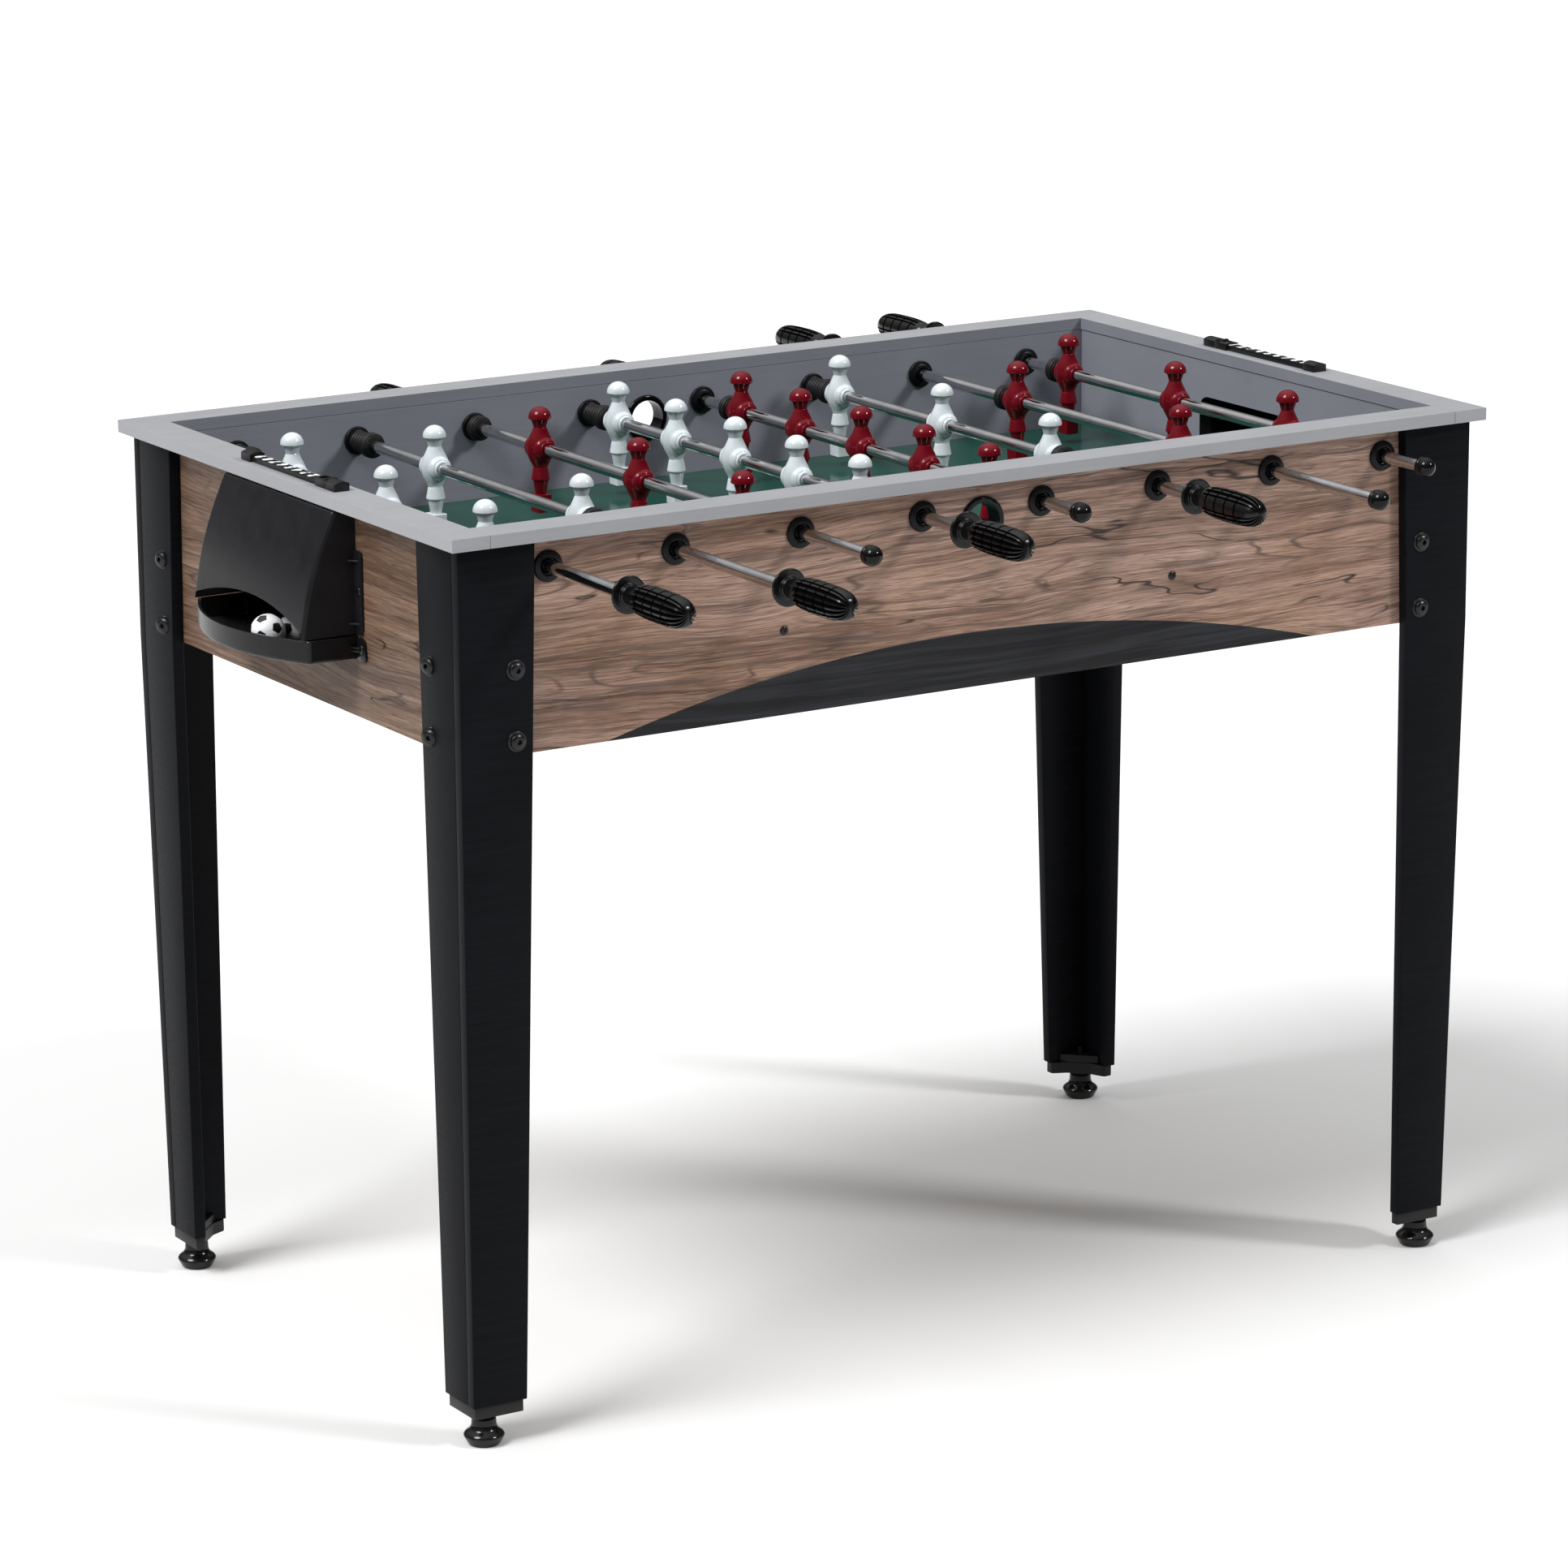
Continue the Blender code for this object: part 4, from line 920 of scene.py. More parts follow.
def handle_mesh():
    """A moulded grip about Z: flange, step, neck, and a ribbed barrel with pads on two sides."""
    stations = []
    for base in (0.0, 180.0):
        for across in (-25.8, -24.6, -16.0, -8.0, 0.0, 8.0, 16.0, 24.6, 25.8):
            stations.append(((base + across) % 360.0, abs(across) > 25.0))
        for side in (-1.0, 1.0):
            for rib in GRIP_RIBS:
                for offset in (-4.5, -3.5, 0.0, 3.5, 4.5):
                    stations.append(((base + side * rib + offset) % 360.0, abs(offset) > 4.0))
    stations.sort()
    heights = {height for height, _ in GRIP_OUTLINE[:-1]}
    heights |= {GROOVE_START, GROOVE_START + GROOVE_RAMP, GROOVE_END - GROOVE_RAMP}
    for cut in GRIP_CUTS:
        heights |= {cut - 0.0013, cut - 0.0009, cut + 0.0009, cut + 0.0013}
    heights |= {0.0260, 0.0340, 0.0430, 0.0620, 0.0660, 0.0750, 0.0820, 0.0965, 0.1012}
    shape = bmesh.new()
    front = soften(
        [
            (0.0066, 0.0), (0.0168, 0.0), (0.0182, 0.0004), (0.0186, 0.0016), (0.0182, 0.0029),
            (0.0160, 0.0031), (0.0112, 0.0026), (0.0106, 0.0032), (0.0106, 0.0054),
            (0.0096, 0.0060), (0.0094, 0.0070), (0.0094, 0.0155),
        ],
        0.0005,
        3,
    )
    rings = []
    for radius, height in front:
        rings.append([(radius, height, 0.0)] * len(stations))
    for height in sorted(heights):
        outline = grip_outline(height)
        ramp_in = (height - GROOVE_START) / GROOVE_RAMP
        ramp_out = (GROOVE_END - height) / GROOVE_RAMP
        groove = GROOVE_DEPTH * min(1.0, max(0.0, min(ramp_in, ramp_out)))
        cut = CUT_DEPTH if min(abs(height - at) for at in GRIP_CUTS) < 0.0010 else 0.0
        ring = []
        for _, hollow in stations:
            depth = min(groove if hollow else min(cut, groove), outline - 0.0015)
            ring.append((outline - depth, height, depth))
        rings.append(ring)
    loops = []
    for ring in rings:
        loop = []
        for (angle, _), (radius, height, _) in zip(stations, ring):
            turn = math.radians(angle)
            loop.append(shape.verts.new((radius * math.cos(turn), radius * math.sin(turn), height)))
        loops.append(loop)
    tip = shape.verts.new((0.0, 0.0, HANDLE_LENGTH))
    count = len(stations)
    for row, (first, second) in enumerate(zip(loops, loops[1:])):
        for step in range(count):
            ahead = (step + 1) % count
            face = shape.faces.new((first[step], first[ahead], second[ahead], second[step]))
            depths = [rings[r][s][2] for r in (row, row + 1) for s in (step, ahead)]
            # Faces deep in a groove take the darker groove look: painted shade.
            face.material_index = 1 if min(depths) > 0.0015 else 0
    for step in range(count):
        shape.faces.new((loops[-1][step], loops[-1][(step + 1) % count], tip))
    return finished(shape, "handle_grip", (HANDLE_BLACK, HANDLE_GROOVE_SHADE), 40.0)


def rod_mesh(name, kind, handle_start):
    """The chromed tube about Z, handle end up, running from inside the handle to inside the cap."""
    pull = NUT_FACE_Y - GAP - max(ROD_KINDS[kind]["figures"]) - BOSS_HALF - BUMPER_LENGTH
    top = handle_start + 0.060
    tip = -(CAP_TIP_OFFSET + pull)
    profile = [(0.0, top), (ROD_RADIUS, top)]
    rows = 40
    inside_cap = tip + 0.012
    for row in range(1, rows):
        profile.append((ROD_RADIUS, top + (inside_cap - top) * row / rows))
    profile += [(ROD_RADIUS, inside_cap), (0.0, inside_cap)]
    return lathe(name, profile, 48, CHROME), tip


def cap_mesh():
    """The push-on end cap about Z: a ball end, a waist line and a collar, tip at z = 0."""
    profile = [(0.0, 0.0)]
    for step in range(1, 11):
        angle = math.radians(10.5 * step)
        profile.append((CAP_RADIUS * math.sin(angle), CAP_RADIUS * (1.0 - math.cos(angle))))
    profile += soften(
        [
            (0.0096, 0.0136), (0.0100, 0.0142), (0.0100, CAP_LENGTH - 0.0008),
            (0.0092, CAP_LENGTH), (0.0065, CAP_LENGTH), (0.0065, 0.0140),
        ],
        0.0004,
        3,
    )
    return lathe("end_cap", profile, 56, CAP_BLACK, angle=40.0)


def bumper_mesh():
    """A rubber ring about Z, from 0 to its length, with a moulded step at each face."""
    length = BUMPER_LENGTH
    profile = soften(
        [
            (0.0066, 0.0), (0.0108, 0.0), (0.0110, 0.0012), (0.0124, 0.0012),
            (BUMPER_RADIUS, 0.0024), (BUMPER_RADIUS, 0.0052), (0.0130, 0.0056), (0.0130, 0.0064),
            (BUMPER_RADIUS, 0.0068), (BUMPER_RADIUS, length - 0.0024), (0.0124, length - 0.0012),
            (0.0110, length - 0.0012), (0.0108, length), (0.0066, length),
        ],
        0.0004,
        2,
    )
    return lathe("bumper_ring", profile, 56, RUBBER, closed=True)


def spacer_mesh():
    """A ribbed sleeve about Z that holds a bumper off the board."""
    profile = [(0.0067, 0.0), (0.0112, 0.0)]
    ribs = 4
    for rib in range(ribs):
        start = 0.0016 + rib * (SPACER_LENGTH - 0.002) / ribs
        profile += [(0.0112, start), (0.0103, start + 0.0008)]
        profile += [(0.0103, start + 0.0022), (0.0112, start + 0.0030)]
    profile += [(0.0112, SPACER_LENGTH), (0.0067, SPACER_LENGTH)]
    return lathe("spacer_sleeve", soften(profile, 0.0003, 2), 48, RUBBER, closed=True)


def bearing_meshes():
    """Two pieces about Z: the outer flange with its sleeve, outwards down, and the inner nut."""
    flange = soften(
        [
            (0.0112, BOARD), (0.0112, -0.0002), (0.0157, -0.0002), (0.0157, -0.0018),
            (0.0149, -0.0031), (0.0106, -0.0043), (0.0095, -0.0041), (0.0092, -0.0004),
            (0.0071, 0.0004), (0.0068, BOARD),
        ],
        0.0005,
        3,
    )
    nut = soften(
        [
            (0.0113, 0.0003), (0.0150, 0.0003), (0.0150, 0.0030), (0.0143, 0.0038),
            (0.0118, 0.0040), (0.0104, BEARING_NUT), (0.0080, BEARING_NUT), (0.0072, 0.0042),
            (0.0068, 0.0003),
        ],
        0.0004,
        3,
    )
    return (
        lathe("bearing_flange", flange, 64, BEARING_BLACK, closed=True),
        lathe("bearing_nut", nut, 64, BEARING_BLACK, closed=True),
    )


def make_rods():
    figures = {
        "white": figure_mesh("figure_white", WHITE_PLASTIC),
        "red": figure_mesh("figure_red", RED_PLASTIC),
    }
    grip, cap, bumper, spacer = handle_mesh(), cap_mesh(), bumper_mesh(), spacer_mesh()
    flange, nut = bearing_meshes()
    for number, (kind, team, slid, handle_shift) in enumerate(RODS, start=1):
        x = rod_x(number)
        handle_start = ROD_KINDS[kind]["handle_start"] + handle_shift
        handle_side = -1 if team == "white" else 1
        turn = (-handle_side * QUARTER, 0.0, 0.0)
        body, slot = f"rod_{number}", f"{team}_team"
        start_y = CABINET_Y + slid
        mesh, tip = rod_mesh(f"rod_tube_{number}", kind, handle_start)
        put(mesh.name, mesh, body, (f"rod_{number}",), (x, start_y, ROD_Z), turn)
        for place, offset in enumerate(ROD_KINDS[kind]["figures"], start=1):
            name = f"figure_{team}_{number}_{place}"
            put(name, figures[team], body, (), (x, start_y + offset, ROD_Z))
        at = (x, start_y + handle_side * handle_start, ROD_Z)
        piece = put(f"grip_{number}", grip, body, (f"handle_{number}",), at, turn)
        spin = Matrix.Rotation(math.radians(HANDLE_TURNS[number - 1]), 4, "Z")
        piece.matrix_basis = piece.matrix_basis @ spin
        at = (x, start_y + handle_side * tip, ROD_Z)
        put(f"end_cap_{number}", cap, body, (), at, turn)

        # The bumper at the handle's end: it lies beside the last figure, or out against the nut.
        beside = max(ROD_KINDS[kind]["figures"]) + BOSS_HALF + 0.0001
        if number == 3:
            at = (x, CABINET_Y + handle_side * (NUT_FACE_Y - BUMPER_LENGTH - 0.0001), ROD_Z)
            put(f"bumper_handle_end_{number}", bumper, "cabinet", (), at, turn)
        else:
            at = (x, start_y + handle_side * beside, ROD_Z)
            put(f"bumper_handle_end_{number}", bumper, body, (), at, turn)
        # The spacer and bumper at the cap's end stand on the board.
        holder = "cabinet" if handle_side < 0 else f"bearing_{number}"
        at = (x, CABINET_Y - handle_side * (NUT_FACE_Y - SPACER_LENGTH), ROD_Z)
        put(f"spacer_{number}", spacer, holder, (), at, away_from_wall(-handle_side))
        at = (x, CABINET_Y - handle_side * (NUT_FACE_Y - SPACER_LENGTH - 0.0001), ROD_Z)
        put(f"bumper_cap_end_{number}", bumper, holder, (), at, into_table(-handle_side))

        for side, end in ((-1, "front"), (1, "back")):
            holder = f"bearing_{number}" if side < 0 else "cabinet"
            stands_for = (f"bearing_{number}",) if side < 0 else ()
            outside = (x, CABINET_Y + side * PANEL_OUT_Y, ROD_Z)
            inside = (x, CABINET_Y + side * PANEL_IN_Y, ROD_Z)
            label, turned = f"{end}_{number}", into_table(side)
            put(f"bearing_flange_{label}", flange, holder, stands_for, outside, turned)
            put(f"bearing_nut_{label}", nut, holder, (), inside, turned)


def into_table(side):
    """The turn that points a piece's +Z from the board at side (-1 or +1 in Y) into the table."""
    return (side * QUARTER, 0.0, 0.0)


def away_from_wall(side):
    """The turn that points a piece's +Z out towards the board at side."""
    return (-side * QUARTER, 0.0, 0.0)


# ---------------------------------------------------------------- serve holes
def make_serve_rings():
    profile = soften(
        [
            (0.0195, -0.0030), (0.0240, -0.0030), (0.0255, -0.0014), (0.0255, 0.0),
            (0.0222, 0.0001), (0.0222, BOARD / 2.0 - 0.0002), (0.0195, BOARD / 2.0 - 0.0002),
        ],
        0.0010,
        4,
    )
    ring = lathe("serve_ring", profile, 72, CAP_BLACK, closed=True)
    for side, end in ((-1, "front"), (1, "back")):
        outside = (0.0, CABINET_Y + side * (PANEL_OUT_Y + 0.0001), SERVE_Z)
        inside = (0.0, CABINET_Y + side * (PANEL_IN_Y - 0.0001), SERVE_Z)
        outer, inner = f"serve_ring_outer_{end}", f"serve_ring_inner_{end}"
        stands_for = (f"serve_cup_{end}",)
        put(outer, ring, "cabinet", stands_for, outside, into_table(side))
        put(inner, ring, "cabinet", (), inside, away_from_wall(side))


# ---------------------------------------------------------------- screws
def screw_mesh():
    """A pan head with a cross recess, seen from +Z."""
    shape = bmesh.new()
    profile = soften([(0.0, 0.0020), (0.0030, 0.0018), (0.0046, 0.0008), (0.0048, 0.0), (0.0, 0.0)], 0.0006, 3)
    lathe_into(shape, profile, 40)
    head = solid("screw_head", shape)
    cutters = []
    for long_side, short_side in ((0.0046, 0.0009), (0.0009, 0.0046)):
        shape = bmesh.new()
        block_into(
            shape, (-long_side / 2, -short_side / 2, 0.0006), (long_side / 2, short_side / 2, 0.0040)
        )
        cutters.append(solid("cross", shape))
    return carved("screw_head", head, cutters, (BOLT_BLACK,), 35.0)


def make_screws(screw):
    for side, end in ((-1, "front"), (1, "back")):
        for x, label in ((-SUPPORT_X, "left"), (SUPPORT_X, "right")):
            at = (x, CABINET_Y + side * PANEL_OUT_Y, PANEL_SCREW_Z)
            put(f"panel_screw_{end}_{label}", screw, "cabinet", (), at, away_from_wall(side))


# ---------------------------------------------------------------- ball returns
def hood_section(inset, steps=20):
    top = HOOD_TOP_Z - inset
    points = []
    for step in range(steps + 1):
        share = step / steps
        reach = HOOD_TOP_REACH + (HOOD_BOTTOM_REACH - HOOD_TOP_REACH) * share
        reach += HOOD_BULGE * math.sin(math.pi * share) - inset
        points.append((reach, top + (HOOD_BOTTOM_Z - top) * share))
    return points


def flange_into(shape, side, end, bottom, top, half_width, ear):
    """A screw flange against the end board, in the frame of the hood's own face."""
    inner, outer = half_width - 0.002, half_width + FLANGE_REACH + ear
    corners = [(inner, bottom), (outer, bottom), (outer - ear, top), (inner, top)]
    outline = soften(corners, 0.006, 6, True)
    upright = Matrix(((0, 0, side, 0), (end, 0, 0, 0), (0, 1, 0, 0), (0, 0, 0, 1)))
    prism_into(shape, outline, GAP, GAP + FLANGE_THICKNESS, 0.0007, 2, upright)
    for height in (bottom + 0.010, top - 0.010):
        # A gusset between the wall and the flange.
        wall, foot = half_width - 0.001, GAP + 0.001
        rib = soften([(wall, foot), (outer - 0.004, foot), (wall, GAP + 0.010)], 0.0008, 2, True)
        flat = Matrix(((0, side, 0, 0), (end, 0, 0, 0), (0, 0, 1, 0), (0, 0, 0, 1)))
        prism_into(shape, rib, height - 0.0009, height + 0.0009, 0.0003, 1, flat)


def hood_outside(side):
    """The hood's outside, lofted across in Y, with its top and side edges rounded over."""
    shape = bmesh.new()
    half = HOOD_HALF_WIDTH
    stations = []
    for step in range(7):
        angle = QUARTER * step / 6
        in_x, in_y = HOOD_ROUND * (1.0 - math.sin(angle)), HOOD_ROUND * (1.0 - math.cos(angle))
        stations.append((half - in_x, in_y))
    stations = [(-y, inset) for y, inset in reversed(stations)] + stations
    stations.sort()
    loops = []
    for y, inset in stations:
        section = hood_section(inset)
        top = [(GAP, HOOD_TOP_Z - inset), (section[0][0], HOOD_TOP_Z - inset)] + section[1:3]
        rounded = soften(top, 0.0030, 5)
        points = rounded + section[3:] + [(GAP, HOOD_BOTTOM_Z)]
        loops.append([shape.verts.new((side * reach, y, height)) for reach, height in points])
    count = len(loops[0])
    for first, second in zip(loops, loops[1:]):
        for index in range(count):
            ahead = (index + 1) % count
            shape.faces.new((first[index], first[ahead], second[ahead], second[index]))
    shape.faces.new(loops[0])
    shape.faces.new(loops[-1])
    return shape


def make_hood(end, side, screw):
    inner = [(-0.01, HOOD_TOP_Z - HOOD_WALL)] + hood_section(HOOD_WALL)
    inner += [(inner[-1][0], HOOD_BOTTOM_Z - 0.01), (-0.01, HOOD_BOTTOM_Z - 0.01)]
    across = Matrix(((side, 0, 0, 0), (0, 0, 1, 0), (0, 1, 0, 0), (0, 0, 0, 1)))
    face = Matrix.Translation((side * PANEL_OUT_X, CABINET_Y, 0.0))
    half = HOOD_HALF_WIDTH
    hood = solid("hood", hood_outside(side))
    shape = bmesh.new()
    prism_into(shape, inner, -half + HOOD_WALL, half - HOOD_WALL, 0.0, 1, across)
    cavity = solid("hood_cavity", shape)
    width = half - HOOD_WALL
    arch = [(-width, HOOD_BOTTOM_Z - 0.01), (width, HOOD_BOTTOM_Z - 0.01)]
    steps = 32
    for step in range(steps + 1):
        y = width - 2.0 * width * step / steps
        arch.append((y, HOOD_FRONT_BOTTOM_Z + HOOD_ARCH_RISE * (1.0 - (y / width) ** 2)))
    forward = Matrix(((0, 0, side, 0), (1, 0, 0, 0), (0, 1, 0, 0), (0, 0, 0, 1)))
    shape = bmesh.new()
    prism_into(shape, arch, 0.03, 0.09, 0.0, 1, forward)
    opening = solid("hood_arch", shape)
    mesh = carved("hood", hood, [cavity, opening], (HOOD_BLACK,), 32.0)
    shape = bmesh.new()
    shape.from_mesh(mesh)
    for wing in (-1, 1):
        flange_into(shape, side, wing, HOOD_BOTTOM_Z + 0.001, FLANGE_TOP_Z, half, 0.0)
    bmesh.ops.transform(shape, matrix=face, verts=shape.verts)
    name = f"hood_shell_{end}"
    mesh = finished(shape, name, (HOOD_BLACK,), 32.0)
    put(name, mesh, "cabinet", (f"return_hood_{end}",))
    for wing in (-1, 1):
        out_x = PANEL_OUT_X + GAP + FLANGE_THICKNESS
        at = (side * out_x, CABINET_Y + wing * (half + FLANGE_SCREW_OUT), HOOD_SCREW_Z)
        label = "front" if wing < 0 else "back"
        turn = (0.0, side * QUARTER, 0.0)
        put(f"hood_screw_{end}_{label}", screw, "cabinet", (), at, turn)


def tray_outline(inset, back, steps=40):
    half = TRAY_HALF_WIDTH - inset
    points = [(back, -half)]
    for step in range(steps + 1):
        y = -half + 2.0 * half * step / steps
        bow = (TRAY_NOSE_REACH - TRAY_SIDE_REACH) * (1.0 - (y / half) ** 2)
        points.append((TRAY_SIDE_REACH + bow - inset, y))
    points.append((back, half))
    return points


def bowl_into(shape, outline, matrix):
    """The tray's outside: straight walls with a narrow lip, rounded in towards its underside."""
    bottom = TRAY_FLOOR_Z - TRAY_UNDER
    levels = [(TRAY_RIM_Z, 0.0004), (TRAY_RIM_Z - 0.0005, 0.0), (bottom + TRAY_FILLET, 0.0)]
    for step in range(1, 7):
        angle = QUARTER * step / 6
        rise, inset = 1.0 - math.sin(angle), 1.0 - math.cos(angle)
        levels.append((bottom + TRAY_FILLET * rise, TRAY_FILLET * inset))
    loops = []
    count = len(outline)
    for height, inset in levels:
        loop = []
        for index in range(count):
            before, here, after = (Vector(outline[(index + k) % count]) for k in (-1, 0, 1))
            along = (after - before).normalized()
            inward = Vector((-along.y, along.x)) * inset
            if here.x < GAP + 0.0001:
                inward.x = 0.0
            loop.append(shape.verts.new((here.x + inward.x, here.y + inward.y, height)))
        loops.append(loop)
    for first, second in zip(loops, loops[1:]):
        for index in range(count):
            ahead = (index + 1) % count
            shape.faces.new((first[index], first[ahead], second[ahead], second[index]))
    shape.faces.new(loops[0])
    shape.faces.new(loops[-1])
    bmesh.ops.transform(shape, matrix=matrix, verts=shape.verts)


def make_tray(end, side, screw):
    outer = soften(tray_outline(0.0, GAP), 0.0030, 4, True)
    inner = soften(tray_outline(TRAY_WALL, GAP + TRAY_WALL), 0.0030, 4, True)
    flat = Matrix(((side, 0, 0, 0), (0, 1, 0, 0), (0, 0, 1, 0), (0, 0, 0, 1)))
    shape = bmesh.new()
    bowl_into(shape, outer, flat)
    tray = solid("tray", shape)
    shape = bmesh.new()
    prism_into(shape, inner, TRAY_FLOOR_Z, TRAY_RIM_Z + 0.01, 0.0014, 3, flat)
    mesh = carved("tray", tray, [solid("tray_hollow", shape)], (TRAY_BLACK,), 32.0)
    shape = bmesh.new()
    shape.from_mesh(mesh)
    for wing in (-1, 1):
        foot, head = TRAY_FLOOR_Z - TRAY_WALL - 0.0002, TRAY_RIM_Z - 0.001
        flange_into(shape, side, wing, foot, head, TRAY_HALF_WIDTH, 0.0030)
    face = Matrix.Translation((side * PANEL_OUT_X, CABINET_Y, 0.0))
    bmesh.ops.transform(shape, matrix=face, verts=shape.verts)
    name = f"tray_shell_{end}"
    mesh = finished(shape, name, (TRAY_BLACK,), 32.0)
    put(name, mesh, "cabinet", (f"return_tray_{end}",))
    for wing in (-1, 1):
        out_x = PANEL_OUT_X + GAP + FLANGE_THICKNESS
        out_y = TRAY_HALF_WIDTH + FLANGE_SCREW_OUT
        at = (side * out_x, CABINET_Y + wing * out_y, TRAY_SCREW_Z)
        label = "front" if wing < 0 else "back"
        turn = (0.0, side * QUARTER, 0.0)
        put(f"tray_screw_{end}_{label}", screw, "cabinet", (), at, turn)


# ---------------------------------------------------------------- game balls
def ball_mesh(radius):
    """A moulded ball: 12 black and 20 white panels, as on a plain football, with shallow seams."""
    shape = bmesh.new()
    bmesh.ops.create_icosphere(shape, subdivisions=1, radius=1.0)
    corners = [vert.co.normalized() for vert in shape.verts]
    centres = [face.calc_center_median().normalized() for face in shape.faces]
    shape.free()
    shape = bmesh.new()
    bmesh.ops.create_icosphere(shape, subdivisions=6, radius=1.0)
    # Cuts of a truncated icosahedron: a point is in the panel whose plane it is furthest beyond.
    pentagon_plane, hexagon_plane = 0.9393, 0.9149
    for face in shape.faces:
        middle = face.calc_center_median().normalized()
        black = max(middle.dot(corner) for corner in corners) / pentagon_plane
        white = max(middle.dot(centre) for centre in centres) / hexagon_plane
        face.material_index = 1 if black > white else 0
    for vert in shape.verts:
        middle = vert.co.normalized()
        values = [middle.dot(corner) / pentagon_plane for corner in corners]
        values += [middle.dot(centre) / hexagon_plane for centre in centres]
        values.sort(reverse=True)
        seam = max(0.0, 1.0 - (values[0] - values[1]) / 0.020)
        vert.co = middle * radius * (1.0 - 0.012 * seam * seam)
    return finished(shape, "football", (BALL_WHITE, BALL_BLACK), 80.0)


def make_balls():
    for number, turn in ((1, (0.5, 0.35, 0.9)), (2, (1.9, 0.8, 0.2))):
        low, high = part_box(f"game_ball_{number}")
        middle = [(a + b) / 2.0 for a, b in zip(low, high)]
        mesh = ball_mesh((high[2] - low[2]) / 2.0)
        name, body, stands_for = f"football_{number}", f"ball_{number}", (f"game_ball_{number}",)
        put(name, mesh, body, stands_for, middle, turn)


# ---------------------------------------------------------------- scorers
def arched_block_into(shape, low, high, rise):
    """A block whose top is arched across its width, with rounded edges."""
    width = high[0] - low[0]
    points = [(low[0], low[2]), (high[0], low[2]), (high[0], high[2] - rise)]
    steps = 8
    for step in range(1, steps):
        share = step / steps
        x = high[0] - width * share
        points.append((x, high[2] - rise + rise * math.sin(math.pi * share)))
    points.append((low[0], high[2] - rise))
    upright = Matrix(((1, 0, 0, 0), (0, 0, 1, 0), (0, 1, 0, 0), (0, 0, 0, 1)))
    prism_into(shape, points, low[1], high[1], 0.0006, 2, upright)


def make_scorer(end, side):
    low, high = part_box(f"score_bar_{end}")
    x = (low[0] + high[0]) / 2.0
    base = low[2]
    block_height = high[2] - low[2]
    inner = SCORE_HALF_LENGTH - SCORE_BLOCK_LENGTH
    shape = bmesh.new()
    near, far = (-0.0060, -inner - 0.002, 0.0), (0.0060, inner + 0.002, SCORE_BAR_HEIGHT - 0.0008)
    block_into(shape, near, far, 0.0005)
    pitch = 2.0 * inner / 10.0
    for place in range(10):
        start = -inner + place * pitch
        block_into(
            shape,
            (-0.0055, start + 0.0006, SCORE_BAR_HEIGHT - 0.0012),
            (0.0055, start + pitch - 0.0006, SCORE_BAR_HEIGHT - 0.0001),
            0.0004,
            2,
        )
    for tip in (-1, 1):
        low_y, high_y = sorted((tip * inner, tip * SCORE_HALF_LENGTH))
        arched_block_into(shape, (-0.0085, low_y, 0.0), (0.0085, high_y, block_height), 0.0022)
        step_y = sorted((tip * (inner + 0.006), tip * (inner + 0.0068)))
        near, far = (-0.0086, step_y[0], 0.0005), (0.0086, step_y[1], block_height - 0.0020)
        block_into(shape, near, far, 0.0003, 1)
    at = (x, CABINET_Y, base)
    name = f"score_strip_{end}"
    mesh = finished(shape, name, (SCORE_BLACK,))
    put(name, mesh, "cabinet", (f"score_bar_{end}",), at)

    # Digits 0 to 9 count away from the slider's rest, and read from inside the table.
    digits = bmesh.new()
    for place in range(10):
        curve = bpy.data.curves.new(f"digit_{place}", "FONT")
        curve.body = str(place)
        curve.size = DIGIT_SIZE
        curve.offset = DIGIT_BOLDNESS
        curve.align_x = "CENTER"
        curve.align_y = "CENTER"
        curve.extrude = 0.00012
        text = bpy.data.objects.new(f"digit_{place}", curve)
        bpy.context.scene.collection.objects.link(text)
        bpy.context.view_layer.update()
        depsgraph = bpy.context.evaluated_depsgraph_get()
        mesh = bpy.data.meshes.new_from_object(text.evaluated_get(depsgraph))
        mesh.transform(Matrix.Rotation(-side * QUARTER, 4, "Z"))
        y = side * (inner - (place + 0.5) * pitch)
        mesh.transform(Matrix.Translation((0.0, y, SCORE_BAR_HEIGHT - 0.0001)))
        digits.from_mesh(mesh)
        bpy.data.objects.remove(text, do_unlink=True)
    name = f"score_digits_{end}"
    mesh = finished(digits, name, (DIGIT_WHITE,), smooth=False)
    put(name, mesh, "cabinet", (), at)

    # The slider: a frame with a window over the number, and a thumb ridge.
    low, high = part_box(f"score_slider_{end}")
    half = (high[1] - low[1]) / 2.0
    height = high[2] - base
    shape = bmesh.new()
    arched_block_into(shape, (-0.0085, -half, GAP), (0.0085, half, height), 0.0020)
    body = solid("slider", shape)
    far = (0.0063, 0.04, SCORE_BAR_HEIGHT + 0.0004)
    groove = solid("slider_groove", block((-0.0063, -0.04, -0.01), far))
    shape = bmesh.new()
    window_y = sorted((side * -0.0085, side * 0.0025))
    prism_into(
        shape,
        soften([(x, window_y[row]) for x, row in WINDOW_CORNERS], 0.001, 3, True),
        0.0,
        0.03,
    )
    window = solid("slider_window", shape)
    mesh = carved("slider", body, [groove, window], (SCORE_BLACK,), 32.0)
    shape = bmesh.new()
    shape.from_mesh(mesh)
    for rib in range(3):
        y = side * (0.0050 + rib * 0.0018)
        near, far = (-0.0070, y - 0.0004, height - 0.0020), (0.0070, y + 0.0004, height + 0.0002)
        block_into(shape, near, far, 0.0002, 1)
    at = (x, (low[1] + high[1]) / 2.0, base)
    name = f"score_frame_{end}"
    mesh = finished(shape, name, (SCORE_BLACK,), 32.0)
    put(name, mesh, f"score_slider_{end}", (f"score_slider_{end}",), at)


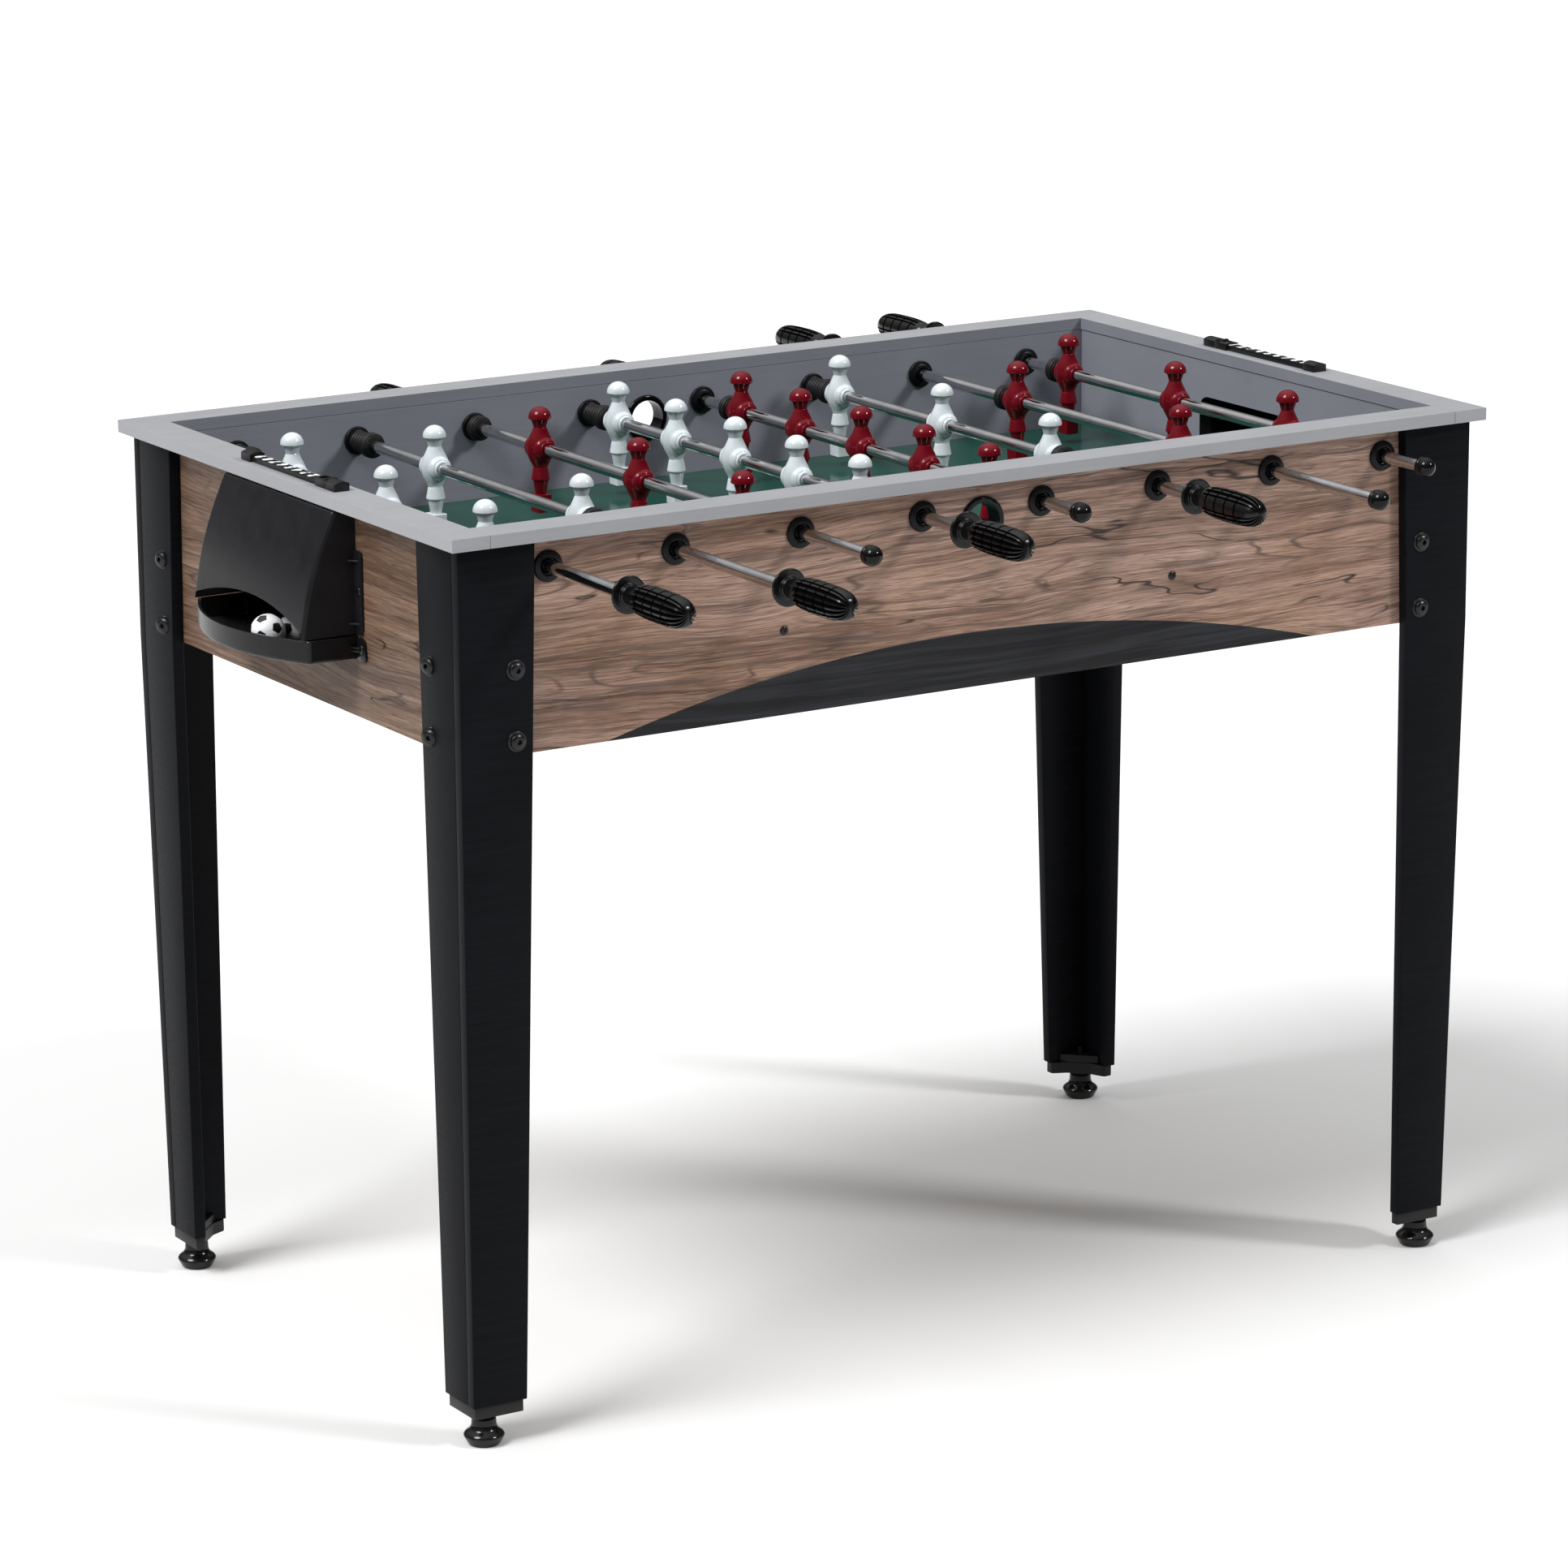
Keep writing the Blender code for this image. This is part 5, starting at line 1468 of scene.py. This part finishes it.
# ---------------------------------------------------------------- studio and camera
def make_studio():
    shape = bmesh.new()
    half = 60.0
    outline = [(-half, -half), (half, -half), (half, half), (-half, half)]
    shape.faces.new([shape.verts.new((x, y, 0.0)) for x, y in outline])
    floor_look = Look("studio_floor", (0.68, 0.68, 0.68), 0.9, Specular_IOR_Level=0.0)
    mesh = finished(shape, "studio_floor", (floor_look.material,), smooth=False)
    floor = bpy.data.objects.new("studio_floor", mesh)
    bpy.context.scene.collection.objects.link(floor)

    # A broad soft ceiling, brightest above and behind the table, over a dim horizon.
    world = bpy.data.worlds.new("studio")
    bpy.context.scene.world = world
    world.use_nodes = True
    tree = world.node_tree
    direction = tree.nodes.new("ShaderNodeTexCoord").outputs["Generated"]
    towards = tree.nodes.new("ShaderNodeVectorMath")
    towards.operation = "DOT_PRODUCT"
    towards.inputs[1].default_value = Vector(SKY_TOWARDS).normalized()
    tree.links.new(direction, towards.inputs[0])
    above = tree.nodes.new("ShaderNodeMath")
    above.operation = "MAXIMUM"
    above.inputs[1].default_value = 0.0
    tree.links.new(towards.outputs["Value"], above.inputs[0])
    steeper = tree.nodes.new("ShaderNodeMath")
    steeper.operation = "POWER"
    steeper.inputs[1].default_value = SKY_POWER
    tree.links.new(above.outputs[0], steeper.inputs[0])
    strength = tree.nodes.new("ShaderNodeMath")
    strength.operation = "MULTIPLY_ADD"
    strength.inputs[1].default_value = SKY_PEAK
    strength.inputs[2].default_value = SKY_FLOOR
    tree.links.new(steeper.outputs[0], strength.inputs[0])
    background = tree.nodes["Background"]
    background.inputs["Color"].default_value = (1.0, 1.0, 1.0, 1.0)
    tree.links.new(strength.outputs[0], background.inputs["Strength"])

    def sun(name, towards, strength, angle):
        data = bpy.data.lights.new(name, "SUN")
        data.energy = strength
        data.angle = angle
        light = bpy.data.objects.new(name, data)
        light.rotation_euler = Vector(towards).to_track_quat("Z", "Y").to_euler()
        bpy.context.scene.collection.objects.link(light)

    sun("key", (2.3, -2.7, 2.55), 1.50, 0.18)
    sun("left_high", (-2.1, -0.3, 2.7), 3.15, 0.45)
    bpy.context.scene.view_settings.view_transform = "Standard"




def make_camera():
    """The photograph's viewpoint: a long lens in front of the left end of the table."""
    angles = (CAMERA_AZIMUTH, CAMERA_ELEVATION, CAMERA_ROLL)
    azimuth, elevation, roll = (math.radians(angle) for angle in angles)
    forward = Vector(
        (-math.sin(azimuth) * math.cos(elevation), math.cos(azimuth) * math.cos(elevation), -math.sin(elevation))
    )
    data = bpy.data.cameras.new("camera")
    data.sensor_width = 36.0
    data.lens = CAMERA_LENS
    data.shift_x = CAMERA_SHIFT[0]
    data.shift_y = CAMERA_SHIFT[1]
    data.clip_start = 0.1
    data.clip_end = 100.0
    camera = bpy.data.objects.new("camera", data)
    facing = forward.to_track_quat("-Z", "Y").to_matrix().to_4x4()
    at = Matrix.Translation((CAMERA_AT[0], CAMERA_AT[1] + CABINET_Y, CAMERA_AT[2]))
    camera.matrix_world = at @ facing @ Matrix.Rotation(roll, 4, "Z")
    bpy.context.scene.collection.objects.link(camera)
    bpy.context.scene.camera = camera



make_side_panels()
make_end_panels()
make_playfield()
make_top_rails()
make_legs()
make_rods()
make_serve_rings()
SCREW = screw_mesh()
make_screws(SCREW)
for end_name, end_side in (("left", -1), ("right", 1)):
    make_hood(end_name, end_side, SCREW)
    make_tray(end_name, end_side, SCREW)
    make_scorer(end_name, end_side)
make_balls()
make_studio()
make_camera()
